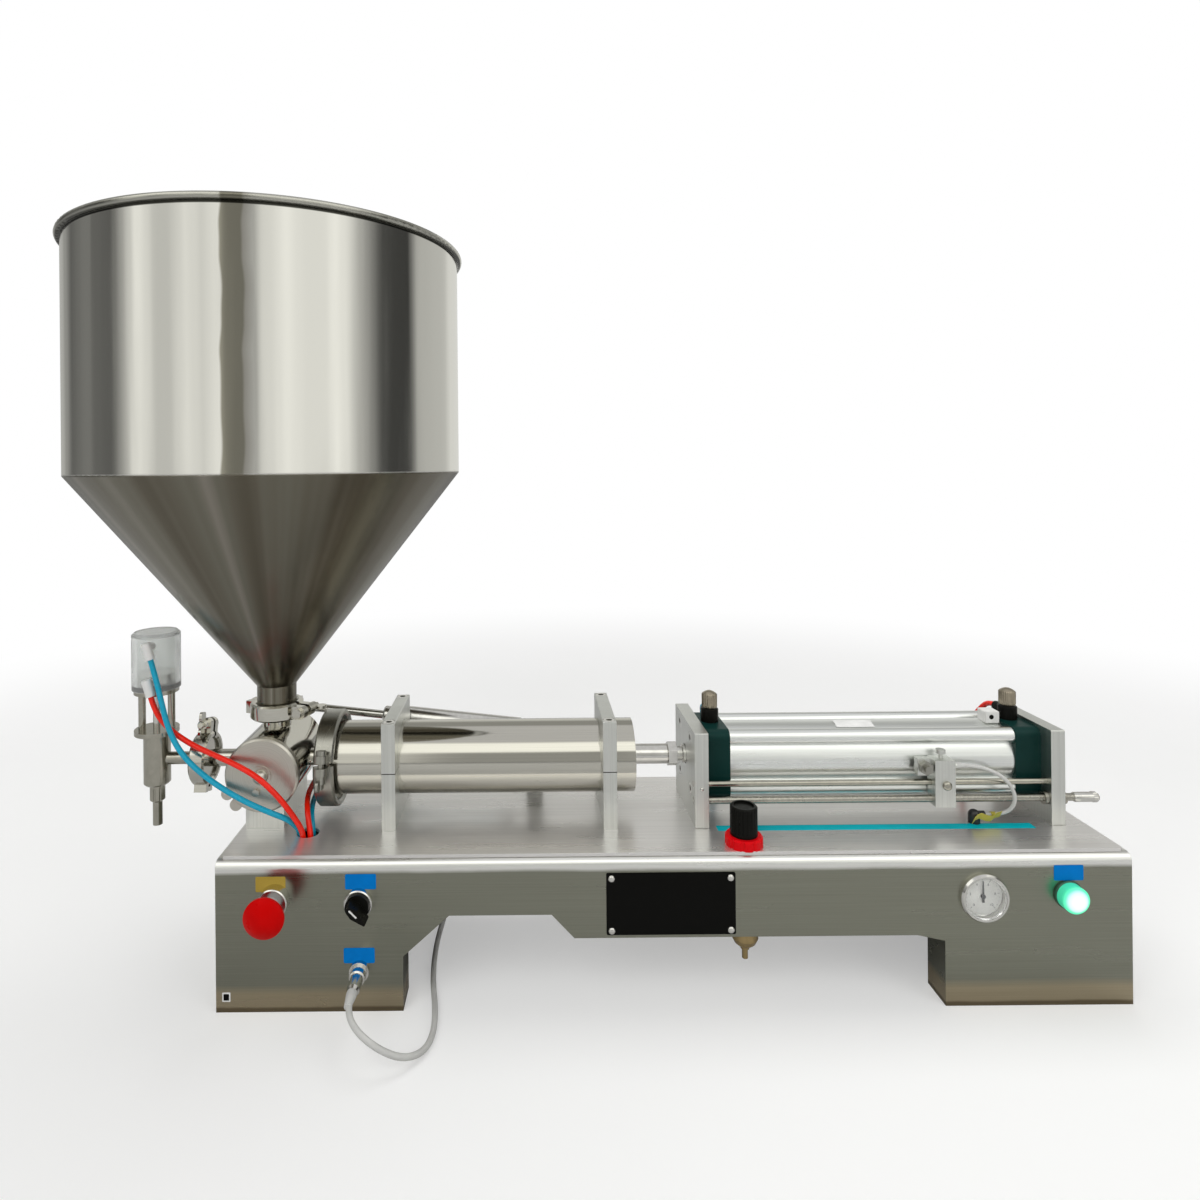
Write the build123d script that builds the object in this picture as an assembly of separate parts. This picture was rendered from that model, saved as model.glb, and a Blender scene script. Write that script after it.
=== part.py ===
from build123d import *
import math
import os

# Piston filling machine. Millimetres, +X along the machine towards the air cylinder,
# +Y towards its back, +Z up. The origin is at the bottom centre of the cabinet.
# Names in capitals are the sizes that are chosen; names in small letters are worked out.

# Clearances
RUNNING_FIT = 0.05        # radial, between a turning or sliding piece and its bore
SEAT_FIT = 0.1            # radial, between fixed pieces that fit in one another
HOLE_FIT = 0.3            # radial, of a screw or fitting in a plain hole

# Cabinet
CABINET_LENGTH = 930.0
CABINET_DEPTH = 200.0
CABINET_HEIGHT = 152.5
SHEET = 2.0
SHOULDER_RADIUS = 8.0     # outside bend along the two long top edges
TOP_FLANGE = 26.0         # width of the rim that the deck rests on
FOOT_EDGE = 275.0         # distance from the middle to the inner edge of each foot
FOOT_RETURN = 35.0        # depth of the sheet turned in along that edge
LEFT_FOOT_TOP = 55.0      # height where the chamfer leaves the left foot
CHAMFER_RUN = 47.0
LEFT_SKIRT = 96.0         # height of the skirt's raised edge on the left
RAISED_END = -124.0       # where the raised edge ends
STEP_RUN = 23.0
MIDDLE_SKIRT = 72.0       # height of the skirt's edge between the feet
RIGHT_FOOT_TOP = 66.0
RIGHT_EASE = 28.0
BASE_FLANGE = 34.0        # width of the rim turned in under each foot
BENCH_BOLT_SPAN = 740.0
BENCH_BOLT_HOLE = 4.5     # radius
DECK_THICKNESS = 3.5
DECK_INSET = 4.5          # from the cabinet's outside to the deck's edge

# Pump line, which runs along X at one height over the deck
LINE_HEIGHT = 62.0        # from the deck to the pump's axis
LINE_Y = 9.0
VALVE_X = -436.0
VALVE_RADIUS = 40.0
VALVE_FRONT = 48.0        # from the axis to the front of the valve body
VALVE_BACK = 48.0
VALVE_WALL = 10.0         # back wall of the valve body
ROTOR_RADIUS = 28.0
ROTOR_PORT = 11.0         # radius of the passages in the rotor
SHAFT_RADIUS = 9.0
SHAFT_END = 37.0          # how far the shaft stands out at the back
COVER_THICKNESS = 8.0
DOME_RADIUS = 8.0
PUMP_JOINT = 65.5         # from the valve's axis to the joint with the pump tube
STUB_RADIUS = 9.5
STUB_WALL = 1.5
END_CAP = 8.0             # thickness of the disc that closes the pump's left end
PUMP_RADIUS = 40.0
PUMP_WALL = 2.0
PUMP_LENGTH = 343.5
END_RING = 12.0           # thickness of the ring that closes the pump's open end
END_RING_HOLE = 17.0      # radius, wider than the lock nut
SADDLE_THICKNESS = 15.0
SADDLE_DEPTH = 108.0
SADDLE_TOP = 55.0         # from the pump's axis to the top of the cap
LEFT_SADDLE = 72.0        # from the pump joint to the middle of the left saddle
RIGHT_SADDLE = 30.5       # from the pump's end to the middle of the right saddle
SADDLE_BOLT_SPAN = 94.0
SUPPORT_WIDTH = 42.0
SUPPORT_DEPTH = 88.0
SUPPORT_RISE = 34.0

# Product piston and its rod
STROKE = 220.0
PISTON_FRONT_GAP = 8.0    # left in front of the piston at the end of its stroke
PISTON_LENGTH = 42.0
PISTON_GAP = 0.6          # radial, between the piston and the pump's wall
SEAL_WIDTH = 5.0
SEAL_DEPTH = 4.0
PISTON_ROD_RADIUS = 11.0
ROD_SHOW = 41.0           # how far the rod stands out of the pump at rest
NUT_FLATS = 24.0
NUT_LENGTH = 10.0
THREAD_RADIUS = 8.0
THREAD_REACH = 20.0       # how deep the thread goes into the rod

# Air cylinder
PLATE_GAP = 61.4          # from the pump's end to the first plate
PLATE_THICKNESS = 15.0
PLATE_HEIGHT = 103.0
AIR_ROD_RADIUS = 10.0
AIR_CAP_SIZE = 75.0
AIR_CAP_LENGTH = 28.0
AIR_CAP_CORNER = 9.0
AIR_BARREL_LENGTH = 316.0
AIR_BARREL_RADIUS = 36.0
AIR_BORE = 31.5           # radius
LOBE_RADIUS = 8.5
TIE_SPAN = 56.5           # between the screws, both ways
AIR_PISTON_LENGTH = 30.0
END_CUSHION = 1.0
SCREW_RADIUS = 4.0
SCREW_HEAD_RADIUS = 6.5
SCREW_HEAD = 8.0
SCREW_GRIP = 18.0         # thread in the piece below
SCREW_SOCKET = 3.0
FLOW_RADIUS = 10.0
FLOW_HEIGHT = 15.0
FLOW_PORT_REACH = 22.0
FLOW_PORT_Z = 8.0
FLOW_KNOB_RADIUS = 6.5
FLOW_KNOB_HEIGHT = 20.0

# Volume adjuster
ADJUST_Y = -36.0
GUIDE_RADIUS = 3.25
GUIDE_DROP = 17.0         # from the pump's axis down to the guide rod
SCREW_DROP = 35.0         # from the pump's axis down to the lead screw
LEAD_RADIUS = 4.0
LEAD_OVERHANG = 41.0
COLLAR_RADIUS = 7.0
COLLAR_LENGTH = 8.0
CARRIAGE_WIDTH = 22.0
CARRIAGE_FRONT = 10.0     # in front of the guide rod's middle
CARRIAGE_BACK = 7.0
CARRIAGE_RISE = 26.5      # over the guide rod
CARRIAGE_FALL = 6.0       # under the lead screw
CARRIAGE_HOME = 104.5     # from the second plate to the block's right side
SENSOR_RADIUS = 4.0
SENSOR_LENGTH = 19.0
SENSOR_FLATS = 13.0
TAB_REACH = 16.0
TAB_THICKNESS = 8.0
THUMB_RADIUS = 5.0
THUMB_HEIGHT = 9.0

# Hopper
HOPPER_RADIUS = 211.5
HOPPER_WALL = 2.0
BEAD_RADIUS = 3.75
HOPPER_WALL_HEIGHT = 247.0
HOPPER_CONE_HEIGHT = 242.0
NECK_RADIUS = 21.75
NECK_LENGTH = 28.0
VALVE_NECK_RADIUS = 15.75
VALVE_NECK_RISE = 57.0    # from the valve's axis to the neck joint

# Pipe joints, each with two flanges in a two-part clamp
SMALL_FLANGE = 25.25
BIG_FLANGE = 48.5
FLANGE_RIM = 3.0          # thickness at the rim
FLANGE_TAPER = 2.0        # added towards the pipe
SMALL_CLAMP_WIDTH = 18.0
BIG_CLAMP_WIDTH = 22.0
CLAMP_WALL = 4.2          # outside the flange's rim
CLAMP_SPLIT = 5.0
CLAMP_LIP = 3.0
LUG_REACH = 15.0
LUG_THICKNESS = 8.0
LUG_WIDTH = 14.0
CLAMP_BOLT = 3.0          # radius

# Outlet arm and nozzle
ARM_RADIUS = 9.5
ARM_JOINT = 83.0          # from the valve's axis to the outlet joint
SMALL_ARM_RADIUS = 7.0
ARM_WALL = 1.5
NOZZLE_OFFSET = 139.0     # from the valve's axis to the nozzle's
NOZZLE_RADIUS = 14.5
NOZZLE_WALL = 2.5
NOZZLE_FALL = 29.0        # body below the arm
NOZZLE_RISE = 30.0        # body above the arm
TIP_RADIUS = 8.2
TIP_LENGTH = 20.0
SPOUT_RADIUS = 5.2
SPOUT_BORE = 3.0
SPOUT_LENGTH = 27.0
NEEDLE_RADIUS = 4.0
YOKE_RADIUS = 24.0
YOKE_PLATE = 5.0
YOKE_RISE = 52.0
POST_RADIUS = 4.0
POST_OFFSET = 17.0
DRIVE_RADIUS = 26.0
DRIVE_WALL = 5.0
DRIVE_HEIGHT = 65.0
ELBOW_INSET = 12.0        # from each end of the drive cylinder
ELBOW_SHIFT = 7.0
ELBOW_REACH = 11.0
ELBOW_RADIUS = 5.0
ELBOW_BARREL = 13.0
ELBOW_TILT = 16.0         # degrees off vertical

# Valve actuator, a small air cylinder behind the pump
ACTUATOR_Y = 82.0
ACTUATOR_TILT = 6.5
CRANK = 52.0
VALVE_TURN = 90.0
LEVER_THICKNESS = 8.0
LEVER_HEAD = 12.5         # radius of the lever round its slot
SLOT_CLEARANCE = 3.4      # each side of the pin
HUB_RADIUS = 23.0
HUB_THICKNESS = 11.0
HUB_GAP = 2.0             # behind the valve body
SLEEVE_RADIUS = 13.0
CRANK_PIN = 4.0           # radius
FORK_EAR = 5.5
FORK_GAP = 1.0
FORK_HALF = 9.5
FORK_SLOT = 27.5
FORK_LENGTH = 37.0
ACTUATOR_ROD = 5.0        # radius
NOSE_START = 106.0        # from the valve's axis, along the actuator
NOSE_LENGTH = 30.0
NOSE_RADIUS = 11.0
ACTUATOR_BARREL = 13.5    # radius
ACTUATOR_WALL = 1.5
ACTUATOR_LENGTH = 142.0
ACTUATOR_PIVOT = 295.0
ACTUATOR_PISTON = 10.0
PIVOT_PIN = 4.0           # radius
BRACKET_WIDTH = 54.0
BRACKET_THICKNESS = 5.0
BRACKET_DEPTH = 26.0
EAR_WIDTH = 20.0

# Front panel, with standard 22 mm devices
PANEL_HOLE = 11.15        # radius
DEVICE_BARREL = 11.0
DEVICE_BORE = 8.0
DEVICE_BLOCK = 30.0
DEVICE_DEPTH = 33.0
ESTOP_X = -404.0
ESTOP_Z = 115.0
ESTOP_COLLAR = 15.0       # radius
ESTOP_COLLAR_LENGTH = 12.0
ESTOP_GAP = 14.0          # between collar and head
ESTOP_HEAD = 20.0         # radius
ESTOP_HEAD_LENGTH = 17.0
ESTOP_PRESS = 5.0
SELECTOR_X = -319.5
SELECTOR_Z = 110.5
SELECTOR_BEZEL = 14.5     # radius
BEZEL_LENGTH = 6.0
SELECTOR_DISC = 12.0
SELECTOR_GRIP = 14.0
LAMP_X = 400.0
LAMP_Z = 112.0
LAMP_RADIUS = 14.5
LAMP_LENGTH = 13.0
GAUGE_X = 314.5
GAUGE_Z = 110.0
GAUGE_RIM = 24.5          # radius
GAUGE_RIM_LENGTH = 5.0
GAUGE_BODY = 21.5
GAUGE_DEPTH = 24.0
GAUGE_FACE = 20.0
GAUGE_RECESS = 8.0
LENS_THICKNESS = 1.5
NEEDLE_LENGTH = 15.5
PEDAL_X = -319.0
PEDAL_Z = 42.0
SOCKET_RADIUS = 10.0
SOCKET_LENGTH = 5.0
PLUG_RADIUS = 8.0
PLUG_LENGTH = 30.0

# Air supply
REGULATOR_X = 77.6
REGULATOR_INSET = 21.4    # from the front panel
REGULATOR_NECK = 12.5     # radius
REGULATOR_BODY = 36.0
REGULATOR_HEIGHT = 46.0
REGULATOR_SHOULDER = 4.0
BOWL_RADIUS = 13.5
BOWL_HEIGHT = 54.0
DRAIN_RADIUS = 3.0
DRAIN_LENGTH = 14.0
RING_RADIUS = 19.25
RING_HEIGHT = 10.0
KNOB_RADIUS = 14.0
KNOB_HEIGHT = 30.0
INLET_X = 250.0
INLET_Z = 112.0
INLET_RADIUS = 7.0
INLET_BORE = 4.0
INLET_LENGTH = 14.0
POWER_X = 380.0
POWER_Z = 112.0
POWER_SIZE = (48.0, 28.0)
POWER_DEPTH = 26.0

# Hoses and cables
HOSE_RADIUS = 3.0
CABLE_RADIUS = 3.0
SENSOR_CABLE_RADIUS = 2.0
BEND_SHARE = 0.45         # of the shorter run beside each bend
HOSE_HOLE_SHIFT = 50.5    # from the valve's axis
HOSE_HOLE_Y = -46.0
HOSE_HOLE_RADIUS = 12.0
HOSE_TAIL = 24.0          # straight length over the valve block
MANIFOLD = (46.0, 36.0, 30.0)
NIPPLE_RADIUS = 4.0
NIPPLE_LENGTH = 6.0
MANIFOLD_DROP = 30.5      # from the deck's underside
GLAND_SPOT = (342.0, -36.0)
GLAND_RADIUS = 6.0
GLAND_HEIGHT = 8.6        # from the deck to the cable's middle
GLAND_REACH = 11.0
UNION_RADIUS = 7.0
UNION_HEIGHT = 14.0
UNION_INSET = 23.5        # from the deck's back edge

# Foot pedal
PEDAL_LENGTH = 104.0
PEDAL_WIDTH = 68.0
PEDAL_WALL = 3.0
PEDAL_HEIGHT = 26.0
PEDAL_GLAND = 12.0        # how far the cable gland stands out
PEDAL_GLAND_Z = 8.0
PEDAL_SPOT = (-372.0, 235.0)
TREADLE_ANGLE = 10.0
COIL_SPOT = (-262.0, 202.0)
COIL_RADIUS = 33.0        # at the middle of its turns
COIL_THICKNESS = 13.0

front = -CABINET_DEPTH / 2
back = CABINET_DEPTH / 2
deck_top = CABINET_HEIGHT + DECK_THICKNESS
line_z = deck_top + LINE_HEIGHT
joint_x = VALVE_X + PUMP_JOINT
pump_end = joint_x + PUMP_LENGTH
plate_1 = pump_end + PLATE_GAP
cap_1 = plate_1 + PLATE_THICKNESS
barrel_start = cap_1 + AIR_CAP_LENGTH
barrel_end = barrel_start + AIR_BARREL_LENGTH
plate_2 = barrel_end + AIR_CAP_LENGTH
plate_2_end = plate_2 + PLATE_THICKNESS
neck_z = line_z + VALVE_NECK_RISE
cone_foot = neck_z + NECK_LENGTH
hopper_seam = cone_foot + HOPPER_CONE_HEIGHT
hopper_top = hopper_seam + HOPPER_WALL_HEIGHT
nozzle_x = VALVE_X - NOZZLE_OFFSET
outlet_x = VALVE_X - ARM_JOINT
hose_hole = (VALVE_X + HOSE_HOLE_SHIFT, HOSE_HOLE_Y)
valve_front = LINE_Y - VALVE_FRONT
valve_back = LINE_Y + VALVE_BACK


def block(x, y, z):
    """A block between two limits each way."""
    size = (x[1] - x[0], y[1] - y[0], z[1] - z[0])
    middle = ((x[0] + x[1]) / 2, (y[0] + y[1]) / 2, (z[0] + z[1]) / 2)
    return Pos(*middle) * Box(*size)


def bar(start, end, radius):
    """A round bar from one point to another."""
    run = Vector(*end) - Vector(*start)
    return extrude(Plane(origin=start, z_dir=run) * Circle(radius), run.length)


def turned(origin, direction, points):
    """A turned piece from (radius, distance) points, measured along its axis."""
    profile = Plane.XZ * make_face(Polyline(*points, close=True))
    return Plane(origin=origin, z_dir=direction) * revolve(profile, Axis.Z)


def domed(origin, direction, points, rim, shoulder, top):
    """A turned piece whose end is rounded from its rim up to its top."""
    rise = top - shoulder
    radius = (rim**2 + rise**2) / (2 * rise)
    plane = Plane(origin=origin, z_dir=direction)
    return turned(origin, direction, points) & (plane * Pos(0, 0, top - radius) * Sphere(radius))


def hexagon(start, direction, flats, length):
    """A hexagonal bar, measured across its flats."""
    radius = flats / 2 / math.cos(math.pi / 6)
    return extrude(Plane(origin=start, z_dir=direction) * RegularPolygon(radius, 6), length)


def save(node, *solids):
    """Write one node's solids to its own file."""
    pieces = [s for piece in solids for s in piece.solids()]
    shape = pieces[0] if len(pieces) == 1 else Compound(children=pieces)
    shape.label = node
    export_step(shape, f"parts/{node}.step")


# Cabinet and deck


def shoulder_section(width, height, radius):
    """Cross section of the cabinet, square below and rounded above."""
    section = Rectangle(width, height, align=(Align.CENTER, Align.MIN))
    return fillet(section.vertices().group_by(Axis.Y)[-1], radius)


def cabinet_bar(width, height, radius, length):
    section = Plane.YZ * shoulder_section(width, height, radius)
    return extrude(section, length / 2, both=True)


def skirt_notch():
    """The outline cut out of the front and back skirts between the feet."""
    raised = RAISED_END
    points = [
        (-FOOT_EDGE, -SHEET),
        (-FOOT_EDGE, LEFT_FOOT_TOP),
        (-FOOT_EDGE + CHAMFER_RUN, LEFT_SKIRT),
        (raised, LEFT_SKIRT),
        (raised + STEP_RUN, MIDDLE_SKIRT),
        (FOOT_EDGE - RIGHT_EASE, MIDDLE_SKIRT),
        (FOOT_EDGE, RIGHT_FOOT_TOP),
        (FOOT_EDGE, -SHEET),
    ]
    outline = Plane.XZ * make_face(Polyline(*points, close=True))
    return extrude(outline, CABINET_DEPTH, both=True)


def foot_sheets():
    """The sheets turned in along each foot's inner edge and under it."""
    sheets = []
    inside = CABINET_LENGTH / 2 - SHEET
    for side, top in ((-1, LEFT_FOOT_TOP), (1, RIGHT_FOOT_TOP)):
        edge = sorted((side * FOOT_EDGE, side * (FOOT_EDGE + SHEET)))
        floor = sorted((side * FOOT_EDGE, side * inside))
        for face in (-1, 1):
            skin = face * (back - SHEET)
            across = sorted((skin, face * (back - FOOT_RETURN)))
            sheets.append(block(edge, across, (0, top)))
            under = sorted((skin, face * (back - BASE_FLANGE)))
            sheets.append(block(floor, under, (0, SHEET)))
    return sheets


def bench_bolt_places():
    row = back - BASE_FLANGE / 2 - SHEET / 2
    return [(x, y) for x in (-BENCH_BOLT_SPAN / 2, BENCH_BOLT_SPAN / 2) for y in (-row, row)]


def panel_hole(x, z, radius, face):
    return bar((x, face - 2 * SHEET, z), (x, face + 2 * SHEET, z), radius)


def cabinet():
    """Folded sheet body, open below, with a rim round the top for the deck."""
    inner_radius = SHOULDER_RADIUS - SHEET
    body = cabinet_bar(CABINET_DEPTH, CABINET_HEIGHT, SHOULDER_RADIUS, CABINET_LENGTH)
    hollow = cabinet_bar(
        CABINET_DEPTH - 2 * SHEET, CABINET_HEIGHT - SHEET, inner_radius, CABINET_LENGTH - 2 * SHEET
    )
    body -= hollow
    half = CABINET_LENGTH / 2 - TOP_FLANGE
    reach = back - TOP_FLANGE
    body -= block((-half, half), (-reach, reach), (CABINET_HEIGHT - 2 * SHEET, CABINET_HEIGHT + SHEET))
    body -= skirt_notch()
    for sheet in foot_sheets():
        body += sheet
    for x, y in bench_bolt_places():
        body -= bar((x, y, -SHEET), (x, y, 2 * SHEET), BENCH_BOLT_HOLE)
    for x, z in ((ESTOP_X, ESTOP_Z), (SELECTOR_X, SELECTOR_Z), (LAMP_X, LAMP_Z)):
        body -= panel_hole(x, z, PANEL_HOLE, front)
    body -= panel_hole(GAUGE_X, GAUGE_Z, GAUGE_BODY + HOLE_FIT, front)
    body -= panel_hole(PEDAL_X, PEDAL_Z, PLUG_RADIUS + HOLE_FIT, front)
    body -= panel_hole(INLET_X, INLET_Z, INLET_RADIUS + HOLE_FIT, back)
    wide, tall = (side / 2 + HOLE_FIT for side in POWER_SIZE)
    body -= block(
        (POWER_X - wide, POWER_X + wide), (back - 2 * SHEET, back + SHEET), (POWER_Z - tall, POWER_Z + tall)
    )
    for x, y in union_places():
        body -= bar((x, y, CABINET_HEIGHT - 2 * SHEET), (x, y, deck_top), UNION_RADIUS - 2 + HOLE_FIT)
    return body - regulator_hole()


def regulator_hole():
    x, y = REGULATOR_X, front + REGULATOR_INSET
    return bar((x, y, CABINET_HEIGHT - 2 * SHEET), (x, y, deck_top + SHEET), REGULATOR_NECK + HOLE_FIT)


def union_places():
    """Where the two cylinder hoses go through the deck."""
    y = back - DECK_INSET - UNION_INSET
    return [(cap_1 + AIR_CAP_LENGTH + 4, y), (plate_2 - AIR_CAP_LENGTH - 4, y)]


def deck():
    """The flat lid with its holes."""
    half = CABINET_LENGTH / 2 - DECK_INSET
    reach = back - DECK_INSET
    plate = block((-half, half), (-reach, reach), (CABINET_HEIGHT, deck_top))
    plate = fillet(plate.edges().filter_by(Axis.Z), DECK_INSET)
    low, high = CABINET_HEIGHT - SHEET, deck_top + SHEET
    plate -= bar((*hose_hole, low), (*hose_hole, high), HOSE_HOLE_RADIUS)
    plate -= bar((*GLAND_SPOT, low), (*GLAND_SPOT, high), GLAND_RADIUS - 2 + HOLE_FIT)
    for x, y in union_places():
        plate -= bar((x, y, low), (x, y, high), UNION_RADIUS - 2 + HOLE_FIT)
    return plate - regulator_hole()


# Pump tube, saddles and valve


def flange(pipe, rim):
    """Profile points of a joint flange, from its face back to the pipe."""
    root = FLANGE_RIM + FLANGE_TAPER
    return [(rim, 0), (rim, FLANGE_RIM), (rim - CLAMP_LIP, root), (pipe, root)]


def pump_tube():
    """The product cylinder with its welded joint flange, and the ring in its open end."""
    bore = PUMP_RADIUS - PUMP_WALL
    points = [(bore, 0)] + flange(PUMP_RADIUS, BIG_FLANGE)
    points += [(PUMP_RADIUS, PUMP_LENGTH), (bore, PUMP_LENGTH)]
    origin = (joint_x, LINE_Y, line_z)
    tube = turned(origin, (1, 0, 0), points)
    start = PUMP_LENGTH - END_RING
    seat = bore - SEAT_FIT
    ring = [
        (END_RING_HOLE, start),
        (seat, start),
        (seat, PUMP_LENGTH),
        (END_RING_HOLE + 2, PUMP_LENGTH),
        (END_RING_HOLE, PUMP_LENGTH - 2),
    ]
    return tube, turned(origin, (1, 0, 0), ring)


def saddle_places():
    return (joint_x + LEFT_SADDLE, pump_end - RIGHT_SADDLE)


def saddle_pair(x):
    """One saddle on the deck and its cap, split at the pump's axis."""
    wide = (x - SADDLE_THICKNESS / 2, x + SADDLE_THICKNESS / 2)
    deep = (LINE_Y - SADDLE_DEPTH / 2, LINE_Y + SADDLE_DEPTH / 2)
    bore = bar((wide[0] - 1, LINE_Y, line_z), (wide[1] + 1, LINE_Y, line_z), PUMP_RADIUS + SEAT_FIT)
    top = line_z + SADDLE_TOP
    lower = block(wide, deep, (deck_top, line_z)) - bore
    upper = block(wide, deep, (line_z, top)) - bore
    upper = chamfer(upper.faces().sort_by(Axis.Z)[-1].edges(), 0.8)
    for y in bolt_rows(SADDLE_BOLT_SPAN):
        upper -= screw_hole((x, y, top), (0, 0, -1), SADDLE_TOP + 1)
        lower -= bar((x, y, line_z - SCREW_GRIP - 2), (x, y, line_z + 1), SCREW_RADIUS + SEAT_FIT)
    return lower, upper


def bolt_rows(span):
    return (LINE_Y - span / 2, LINE_Y + span / 2)


def screw_hole(top, direction, depth):
    """A clearance hole with a counterbore for a socket screw's head."""
    shank = SCREW_RADIUS + HOLE_FIT
    head = SCREW_HEAD_RADIUS + HOLE_FIT
    sunk = SCREW_HEAD + SEAT_FIT
    points = [(0, -1), (head, -1), (head, sunk), (shank, sunk), (shank, depth), (0, depth)]
    return turned(top, direction, points)


def socket_screw(top, direction, length):
    """A socket head screw with its head sunk level with the surface."""
    across = SCREW_HEAD_RADIUS
    points = [(0, SEAT_FIT), (across, SEAT_FIT), (across, SCREW_HEAD + SEAT_FIT)]
    points += [(SCREW_RADIUS, SCREW_HEAD + SEAT_FIT), (SCREW_RADIUS, length), (0, length)]
    socket = hexagon(top, direction, 2 * SCREW_SOCKET, SCREW_HEAD / 2)
    return turned(top, direction, points) - socket


def plate_screw_places():
    half = TIE_SPAN / 2
    return [(LINE_Y + a * half, line_z + b * half) for a in (-1, 1) for b in (-1, 1)]


def screws():
    """Every socket screw: four in each end plate and two in each saddle."""
    found = []
    for x in saddle_places():
        for y in bolt_rows(SADDLE_BOLT_SPAN):
            found.append(socket_screw((x, y, line_z + SADDLE_TOP), (0, 0, -1), SADDLE_TOP + SCREW_GRIP))
    for y, z in plate_screw_places():
        found.append(socket_screw((plate_1, y, z), (1, 0, 0), PLATE_THICKNESS + SCREW_GRIP))
        found.append(socket_screw((plate_2_end, y, z), (-1, 0, 0), PLATE_THICKNESS + SCREW_GRIP))
    return found


def valve_support():
    """The block that carries the valve body, hollowed to its radius."""
    wide = (VALVE_X - SUPPORT_WIDTH / 2, VALVE_X + SUPPORT_WIDTH / 2)
    deep = (LINE_Y - SUPPORT_DEPTH / 2, LINE_Y + SUPPORT_DEPTH / 2)
    solid = block(wide, deep, (deck_top, deck_top + SUPPORT_RISE))
    cradle = bar((VALVE_X, deep[0] - 1, line_z), (VALVE_X, deep[1] + 1, line_z), VALVE_RADIUS + SEAT_FIT)
    return solid - cradle


def valve_body():
    """Housing with a bore along Y, a neck on top, a pipe to the pump and an arm to the nozzle."""
    centre = (VALVE_X, LINE_Y, line_z)
    body = bar((VALVE_X, valve_front, line_z), (VALVE_X, valve_back, line_z), VALVE_RADIUS)
    neck = flange(VALVE_NECK_RADIUS, SMALL_FLANGE)
    top = (VALVE_X, LINE_Y, neck_z)
    neck += [(VALVE_NECK_RADIUS, VALVE_NECK_RISE), (0, VALVE_NECK_RISE)]
    body += turned(top, (0, 0, -1), [(0, 0)] + neck)
    side = (joint_x, LINE_Y, line_z)
    disc = flange(STUB_RADIUS + 4, BIG_FLANGE)[:-1]
    disc += [(STUB_RADIUS + 4, END_CAP), (STUB_RADIUS, END_CAP + 4)]
    body += turned(side, (-1, 0, 0), [(0, 0)] + disc + [(STUB_RADIUS, PUMP_JOINT), (0, PUMP_JOINT)])
    arm = flange(ARM_RADIUS, SMALL_FLANGE)
    body += turned(
        (outlet_x, LINE_Y, line_z), (1, 0, 0), [(0, 0)] + arm + [(ARM_RADIUS, ARM_JOINT), (0, ARM_JOINT)]
    )
    bore_end = (VALVE_X, valve_back - VALVE_WALL, line_z)
    body -= bar((VALVE_X, valve_front - 1, line_z), bore_end, ROTOR_RADIUS)
    body -= bar((VALVE_X, LINE_Y, line_z), (VALVE_X, valve_back + 1, line_z), SHAFT_RADIUS + RUNNING_FIT)
    body -= bar(centre, (VALVE_X, LINE_Y, neck_z + 1), ROTOR_PORT)
    body -= bar(centre, (joint_x + 1, LINE_Y, line_z), STUB_RADIUS - STUB_WALL)
    body -= bar((outlet_x - 1, LINE_Y, line_z), centre, ARM_RADIUS - ARM_WALL)
    return body


def valve_cover():
    """Round front cover with a domed nut in the middle and a clamp lug at its lower left."""
    face = valve_front - COVER_THICKNESS
    points = [
        (0, 0),
        (VALVE_RADIUS, 0),
        (VALVE_RADIUS, COVER_THICKNESS - 2),
        (VALVE_RADIUS - 2, COVER_THICKNESS),
        (0, COVER_THICKNESS),
    ]
    cover = turned((VALVE_X, valve_front, line_z), (0, -1, 0), points)
    rim = DOME_RADIUS + 3
    ring = turned((VALVE_X, face, line_z), (0, -1, 0), [(0, -1), (rim, -1), (rim, 1), (0, 1)])
    dome = Pos(VALVE_X, face - 1, line_z) * Sphere(DOME_RADIUS)
    in_front = block((VALVE_X - 20, VALVE_X + 20), (face - 20, face), (line_z - 20, line_z + 20))
    cover += ring + (dome & in_front)
    cover += hexagon((VALVE_X - 5, face + 1, line_z - 17), (0, -1, 0), 7.0, 4.5)
    angle = math.radians(218)
    for turn in (-0.18, 0.18):
        away = VALVE_RADIUS + 2
        x = VALVE_X + away * math.cos(angle + turn)
        z = line_z + away * math.sin(angle + turn)
        cover += bar((x, valve_front - 1, z), (x, face + 1, z), 6.5)
    return cover


def valve_rotor():
    """Plug with a passage right across it and a branch at a right angle, on a shaft."""
    radius = ROTOR_RADIUS - RUNNING_FIT
    ahead = valve_front + SEAT_FIT * 3
    behind = valve_back - VALVE_WALL - SEAT_FIT * 3
    plug = bar((VALVE_X, ahead, line_z), (VALVE_X, behind, line_z), radius)
    plug += bar((VALVE_X, behind - 1, line_z), (VALVE_X, valve_back + SHAFT_END, line_z), SHAFT_RADIUS)
    reach = ROTOR_RADIUS + 1
    plug -= bar((VALVE_X, LINE_Y, line_z - reach), (VALVE_X, LINE_Y, line_z + reach), ROTOR_PORT - 1)
    plug -= bar((VALVE_X, LINE_Y, line_z), (VALVE_X + reach, LINE_Y, line_z), ROTOR_PORT - 1)
    return plug


# Piston, rods and air cylinder


def piston_face():
    """X of the product piston's front at rest, with the rod drawn back."""
    return joint_x + PISTON_FRONT_GAP + STROKE


def seal_places():
    return (SEAL_WIDTH * 1.5, PISTON_LENGTH - SEAL_WIDTH * 2.5)


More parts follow.
